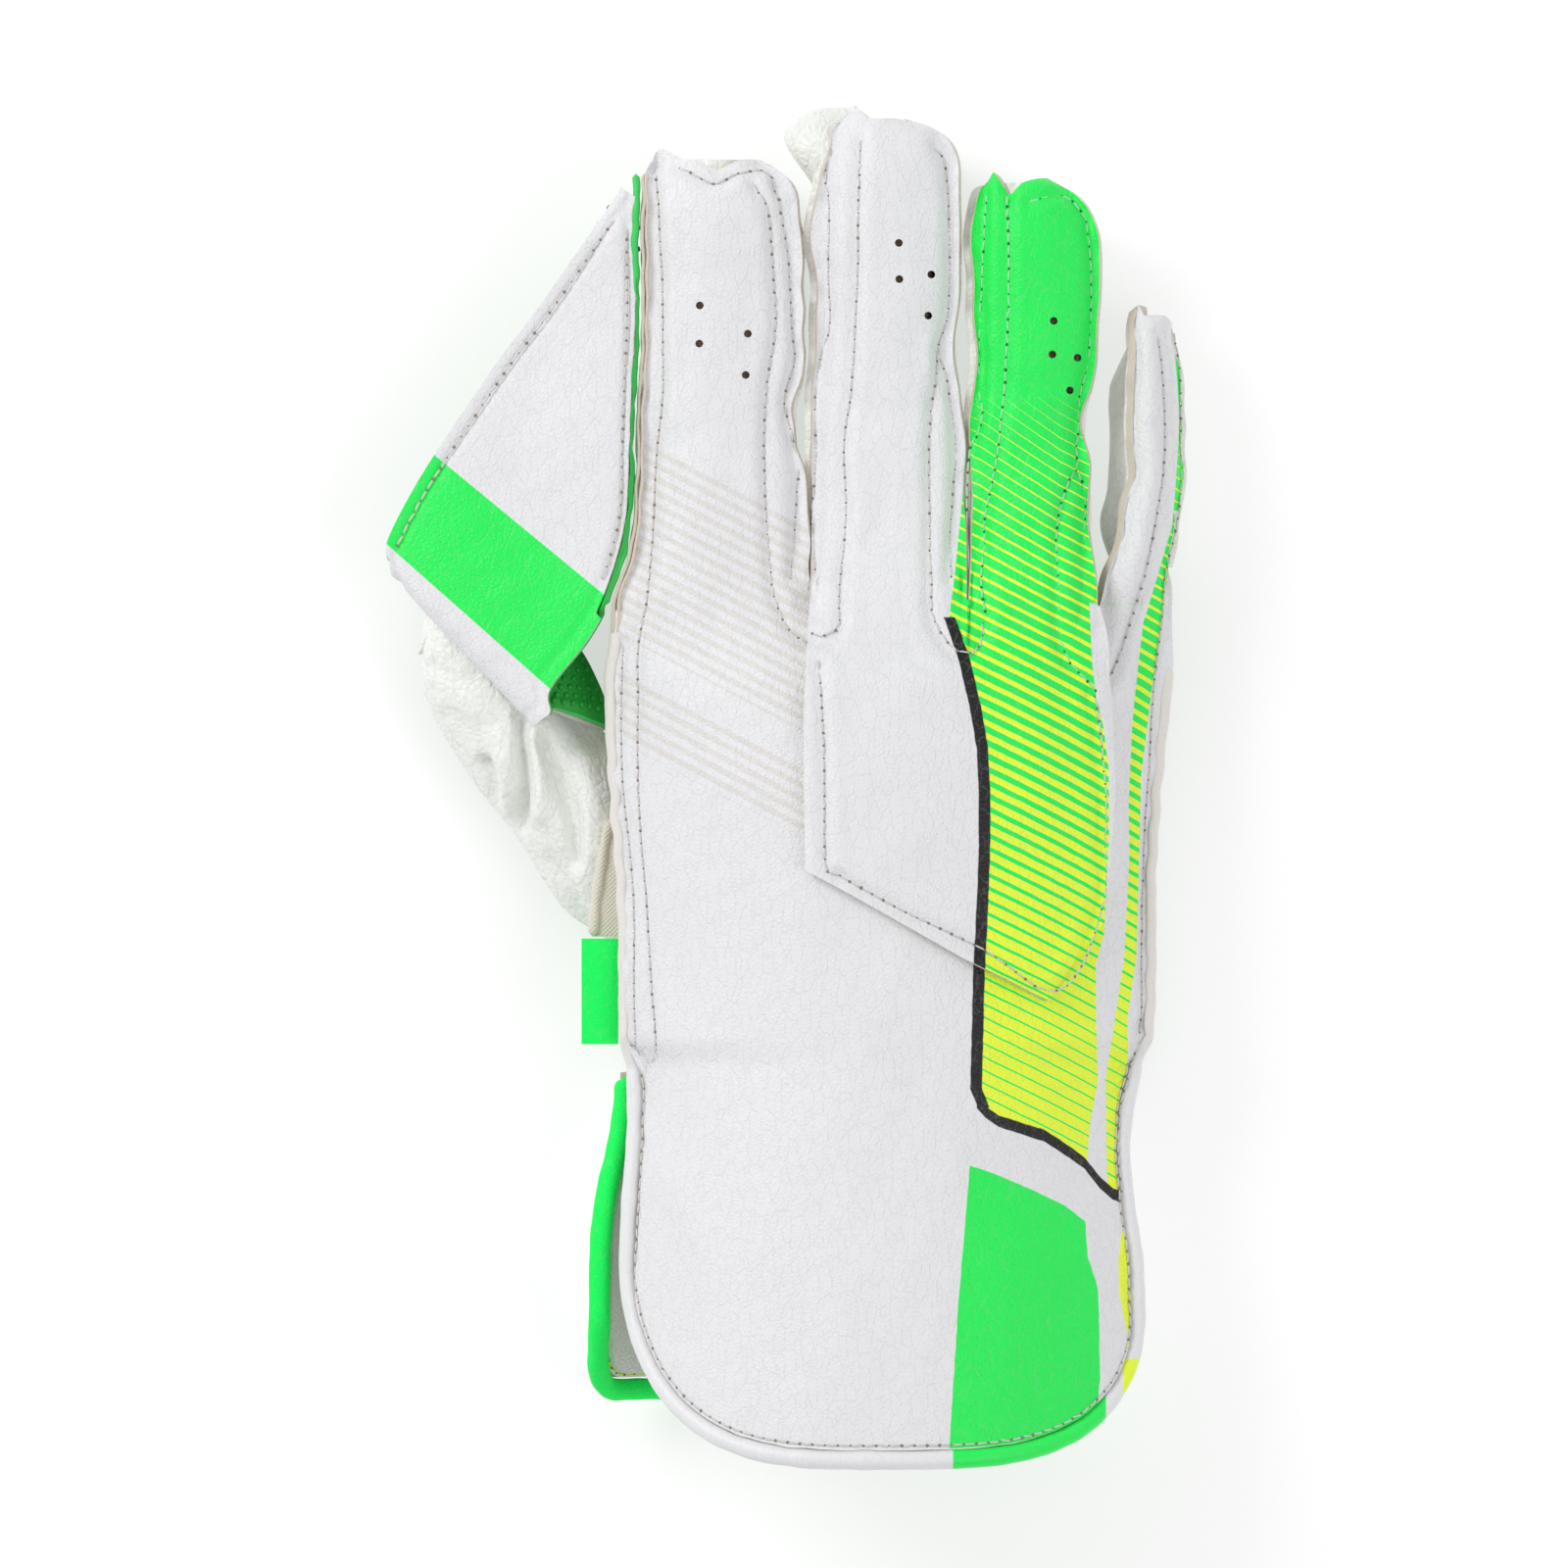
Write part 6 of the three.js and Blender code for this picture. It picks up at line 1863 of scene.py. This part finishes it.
def make_back_binding(context):
    colours = in_scene(context)[1]
    places, normals = even_line(*back_edge(*PLY_TOPS))
    side = sideways(places, normals)
    y = places[:, 1]
    full = roll_room(y) / (2 * BACK_ROLL[0] + CLEARANCE)
    width, height = (mix(thin, thick, full) for thin, thick in zip(PLY_SIZE, BACK_ROLL))
    wander = 0.3 * ripple(y, np.sign(places[:, 0]) * 40, 12, 79) * (1 - full)
    aside = mix(-PLY_INSET, BACK_ROLL[0] + CLEARANCE / 2, full) + wander
    centres = places + side * aside[:, None] + normals * (BACK_THICKNESS / 2 * (1 - full))[:, None]
    skin = leather("white_binding", colours.white, 0.8, 0.4, 0.08, binding_print(colours))
    piece = roll("back_cuff_binding", centres, side, normals, width, height, [skin], 0.035)
    settle(piece, "white_binding", "back_binding")


def palm_edge():
    """The palm cuff's free edge down its thumb side and round its end, with normals."""
    sides = [(1.0, y) for y in np.linspace(PALM_CUFF_START - 1.2, float(palm_cuff_end(1.0)), 60)[:-1]]
    turns = 1 - 0.95 * (1 - np.cos(np.linspace(0, math.pi, 170))) / 2
    stations = sides + [(turn, float(palm_cuff_end(turn))) for turn in turns]
    places, outside = (
        np.array([palm_cuff_point(turn, y, depth) for turn, y in stations])
        for depth in (PALM_CUFF_THICKNESS / 2, 0)
    )
    return even_line(places, unit(outside - places))


def make_palm_binding(context):
    places, normals = palm_edge()
    side = sideways(places, normals)
    centres = places - side * (PALM_ROLL + CLEARANCE)
    skin = finish(context, "green_tape")
    piece = roll("palm_cuff_binding", centres, side, normals, PALM_ROLL, PALM_ROLL, [skin], 0.04)
    settle(piece, "green_tape", "palm_binding")


def make_tag(context):
    edge = hand_edge("left", TAG_Y) - CLEARANCE
    top = back_height(INDEX, -1.0, 0.0, TAG_Y) - BACK_THICKNESS
    reach = np.linspace(0, 1, 20)[None, :]
    length = np.linspace(-0.5, 0.5, 40)[:, None]
    z = top - 1.2 * reach**2 + 0.25 * np.sin(length * 5) * reach
    outer = points(edge - TAG_REACH * reach, TAG_Y + TAG_LENGTH * length, z)
    inner = outer - np.array((0, 0, TAG_THICKNESS))
    materials = [finish(context, "green_tape"), finish(context, "rubber_edge")]
    settle(shell("side_tab", outer, inner, materials), "green_tape", "side_tag")


# Stitching
def back_station(x, y):
    """The finger, the place across it and the run of a point of the back."""
    if y > CROTCH_Y:
        shares = [clamp01((y - CROTCH_Y) / f.length) for f in FINGERS]
        across = [f.across(x, share) for f, share in zip(FINGERS, shares)]
        best = int(np.argmin(np.abs(across)))
        return FINGERS[best], float(across[best]), 1 + float(shares[best])
    left, right = hand_edges(y)
    share = float(clamp01((x - left) / (right - left)))
    return (*finger_at(share), float(hand_run(y, share)))


def on_back(line, sizes, sewing, raised=False):
    """Puts a line of (x, y) on the outside of the back or the overlay, with the leather's normals."""
    places = []
    normals = []
    for x, y in refine(line, 8):
        station = back_station(x, y)
        normals.append(back_normal(*station))
        rise = overlay_rise(station[2]) if raised else 0
        places.append(back_point(*station) + normals[-1] * rise)
    return lay_on(np.array(places), np.array(normals), sizes, sewing)


def inside_edge(places, normals, inset, sizes):
    """A line on the back just inside its cuff's edge."""
    top = places - sideways(places, normals) * inset + normals * (BACK_THICKNESS / 2)
    return lay_on(top, normals, sizes, BACK_SEWING)


def web_line(grid, inwards, inset, from_hem):
    """A line on the web at an even distance from its hem or its seam."""
    last = WEB_FINE_ROWS * (len(WEB_ROWS["at"]) - 1)
    line = []
    ways = []
    for row in range(5, last):
        width = np.linalg.norm(grid[row, -1] - grid[row, 0])
        share = inset / width if from_hem else 1 - inset / width
        column = int(round(share * (grid.shape[1] - 1)))
        line.append(mix(grid[row, 0], grid[row, -1], share) * (1, 1, 0) + grid[row, column] * (0, 0, 1))
        ways.append(-inwards[row, column])
    line, ways = np.array(line), np.array(ways)
    shown = from_hem | (line[:, 1] > WEB_SEAM_ROW_END)
    return (line + ways * 0.1)[shown], ways[shown]


def make_stitching(context):
    sizes, colours = in_scene(context)
    # The second material of each pair is the painted shadow of the needle holes; on green it is the palm
    # rubber's dark green
    white = [thread("white_thread", colours.thread), thread("needle_hole_shadow", colours.hole)]
    green = [thread("green_thread", colours.green_thread), thread("green_needle_hole_shadow", colours.rubber)]
    yellow = [thread("yellow_thread", colours.yellow), green[1]]
    back = [on_back(line, sizes, BACK_SEWING) for line in BACK_SEAMS.values()]
    back.append(inside_edge(*even_line(*back_edge()), 0.9, sizes))
    make_stitches("back_stitching", back, white, sizes, 91, "white_leather")
    for name, is_ring, materials in (("overlay_stitching", False, white), ("ring_stitching", True, green)):
        seams = [line for seam, line in OVERLAY_SEAMS.items() if seam.startswith("ring") == is_ring]
        over = [on_back(line, sizes, OVERLAY_SEWING, True) for line in seams]
        make_stitches(name, over, materials, sizes, 92, "overlay_leather")
    grid, inwards, _ = web_surface(140)
    lines = [web_line(grid, inwards, WEB_HEM_ROW, True), web_line(grid, inwards, WEB_SEAM_ROW, False)]
    make_stitches("web_stitching", lines, white, sizes, 93, "white_leather")
    places, normals = palm_edge()
    line = places + sideways(places, normals) * 0.8 - normals * (PALM_CUFF_THICKNESS / 2 + 0.2)
    make_stitches("palm_cuff_stitching", [(line, -normals)], yellow, sizes, 94, "green_tape")


# The stage
CAMERA_HEIGHT = 3000.0
CAMERA_LENS = 270
FLOOR_HALF = 4
FLOOR_SHADE = 0.45
FLOOR_GLOW = 0.6
SKY_STRENGTH = 0.6
KEY_LIGHT = ((-1.3, 1.0, 1.25), 0.9, 19)
FILL_LIGHT = ((1.3, -0.5, 1.6), 1.2, 9)
PHOTO_CENTRE = (-0.375, 0.0, 35.0)


def add_light(name, place, size, power):
    """A soft square light that points at the glove's middle."""
    lamp = bpy.data.lights.new(name, "AREA")
    lamp.shape = "SQUARE"
    lamp.size = size
    lamp.energy = power
    light = bpy.data.objects.new(name, lamp)
    bpy.context.scene.collection.objects.link(light)
    light.location = place
    light.rotation_euler = (-Vector(place)).to_track_quat("-Z", "Y").to_euler()
    return light


def make_stage(context):
    colours = in_scene(context)[1]
    scene = context.scene
    graph = Graph("pale_floor")
    graph.surface("Base Color", rgba(colours.floor, FLOOR_SHADE))
    graph.surface("Roughness", 0.9)
    graph.surface("Emission Color", rgba(colours.floor))
    graph.surface("Emission Strength", FLOOR_GLOW)
    mesh = bpy.data.meshes.new("floor")
    corners = [(x * FLOOR_HALF, y * FLOOR_HALF, 0) for x, y in ((-1, -1), (1, -1), (1, 1), (-1, 1))]
    mesh.from_pydata(corners, [], [(0, 1, 2, 3)])
    mesh.materials.append(graph.material)
    floor = bpy.data.objects.new("floor", mesh)
    scene.collection.objects.link(floor)
    key = add_light("key_light", *KEY_LIGHT)
    fill = add_light("fill_light", *FILL_LIGHT)
    lens = bpy.data.cameras.new("camera")
    lens.lens = CAMERA_LENS
    lens.sensor_width = 36
    lens.clip_end = 20
    camera = bpy.data.objects.new("camera", lens)
    camera.location = Vector(to_frame(np.array(PHOTO_CENTRE) + (0, 0, CAMERA_HEIGHT))[0])
    scene.collection.objects.link(camera)
    scene.camera = camera
    world = bpy.data.worlds.new("studio")
    world.use_nodes = True
    sky = world.node_tree.nodes["Background"]
    sky.inputs["Color"].default_value = (1, 1, 1, 1)
    sky.inputs["Strength"].default_value = SKY_STRENGTH
    scene.world = world
    scene.view_settings.view_transform = "Standard"


# Operators
class OBJECT_OT_glove_back(bpy.types.Operator):
    """Make the leather panel of the hand, cuff, index finger and little finger"""

    bl_idname = "object.glove_back"
    bl_label = "Hand Back"

    def execute(self, context):
        make_hand_back(context)
        return {"FINISHED"}


class OBJECT_OT_glove_overlay(bpy.types.Operator):
    """Make the overlay panel of the middle and ring fingers"""

    bl_idname = "object.glove_overlay"
    bl_label = "Finger Overlay"

    def execute(self, context):
        make_overlay(context)
        return {"FINISHED"}


class OBJECT_OT_glove_palm(bpy.types.Operator):
    """Make the pimpled rubber of the palm"""

    bl_idname = "object.glove_palm"
    bl_label = "Palm Rubber"

    def execute(self, context):
        make_palm(context)
        return {"FINISHED"}


class OBJECT_OT_glove_finger_sides(bpy.types.Operator):
    """Make the gussets down the sides of the fingers"""

    bl_idname = "object.glove_finger_sides"
    bl_label = "Finger Gussets"

    def execute(self, context):
        make_finger_sides(context)
        return {"FINISHED"}


class OBJECT_OT_glove_hand_sides(bpy.types.Operator):
    """Make the cloth and leather sides of the hand"""

    bl_idname = "object.glove_hand_sides"
    bl_label = "Hand Sides"

    def execute(self, context):
        make_hand_sides(context)
        return {"FINISHED"}


class OBJECT_OT_glove_thumb(bpy.types.Operator):
    """Make the thumb's leather and its rubber facing"""

    bl_idname = "object.glove_thumb"
    bl_label = "Thumb"

    def execute(self, context):
        make_thumb(context)
        return {"FINISHED"}


class OBJECT_OT_glove_web(bpy.types.Operator):
    """Make the web between thumb and index finger"""

    bl_idname = "object.glove_web"
    bl_label = "Catching Web"

    def execute(self, context):
        make_web(context)
        return {"FINISHED"}


class OBJECT_OT_glove_cuff(bpy.types.Operator):
    """Make the lower half of the cuff and its lining"""

    bl_idname = "object.glove_cuff"
    bl_label = "Palm Cuff"

    def execute(self, context):
        make_palm_cuff(context)
        return {"FINISHED"}


class OBJECT_OT_glove_bindings(bpy.types.Operator):
    """Make the padded rolls round the cuff and the tab in the side seam"""

    bl_idname = "object.glove_bindings"
    bl_label = "Bindings and Tab"

    def execute(self, context):
        make_back_binding(context)
        make_palm_binding(context)
        make_tag(context)
        return {"FINISHED"}


class OBJECT_OT_glove_stitching(bpy.types.Operator):
    """Make the stitches along the seams"""

    bl_idname = "object.glove_stitching"
    bl_label = "Stitching"

    def execute(self, context):
        make_stitching(context)
        return {"FINISHED"}


class OBJECT_OT_glove_stage(bpy.types.Operator):
    """Make the floor, the lights and the camera"""

    bl_idname = "object.glove_stage"
    bl_label = "Stage"

    def execute(self, context):
        make_stage(context)
        return {"FINISHED"}


PIECE_OPERATORS = (
    OBJECT_OT_glove_back,
    OBJECT_OT_glove_overlay,
    OBJECT_OT_glove_palm,
    OBJECT_OT_glove_finger_sides,
    OBJECT_OT_glove_hand_sides,
    OBJECT_OT_glove_thumb,
    OBJECT_OT_glove_web,
    OBJECT_OT_glove_cuff,
    OBJECT_OT_glove_bindings,
    OBJECT_OT_glove_stitching,
    OBJECT_OT_glove_stage,
)


class VIEW3D_PT_glove(bpy.types.Panel):
    """Lists the glove's pieces with their sizes and colours"""

    bl_label = "Wicketkeeping Glove"
    bl_space_type = "VIEW_3D"
    bl_region_type = "UI"
    bl_category = "Glove"

    def draw(self, context):
        for piece in PIECE_OPERATORS:
            self.layout.operator(piece.bl_idname)
        for settings in in_scene(context):
            box = self.layout.box()
            for name in settings.__annotations__:
                box.prop(settings, name)


CLASSES = (GloveSizes, GloveColours, *PIECE_OPERATORS, VIEW3D_PT_glove)


def register():
    for cls in CLASSES:
        bpy.utils.register_class(cls)
    bpy.types.Scene.glove_sizes = bpy.props.PointerProperty(type=GloveSizes)
    bpy.types.Scene.glove_colours = bpy.props.PointerProperty(type=GloveColours)


def unregister():
    del bpy.types.Scene.glove_colours
    del bpy.types.Scene.glove_sizes
    for cls in reversed(CLASSES):
        bpy.utils.unregister_class(cls)


def main():
    register()
    bpy.ops.object.glove_back()
    bpy.ops.object.glove_overlay()
    bpy.ops.object.glove_palm()
    bpy.ops.object.glove_finger_sides()
    bpy.ops.object.glove_hand_sides()
    bpy.ops.object.glove_thumb()
    bpy.ops.object.glove_web()
    bpy.ops.object.glove_cuff()
    bpy.ops.object.glove_bindings()
    bpy.ops.object.glove_stitching()
    bpy.ops.object.glove_stage()


if __name__ == "__main__":
    main()
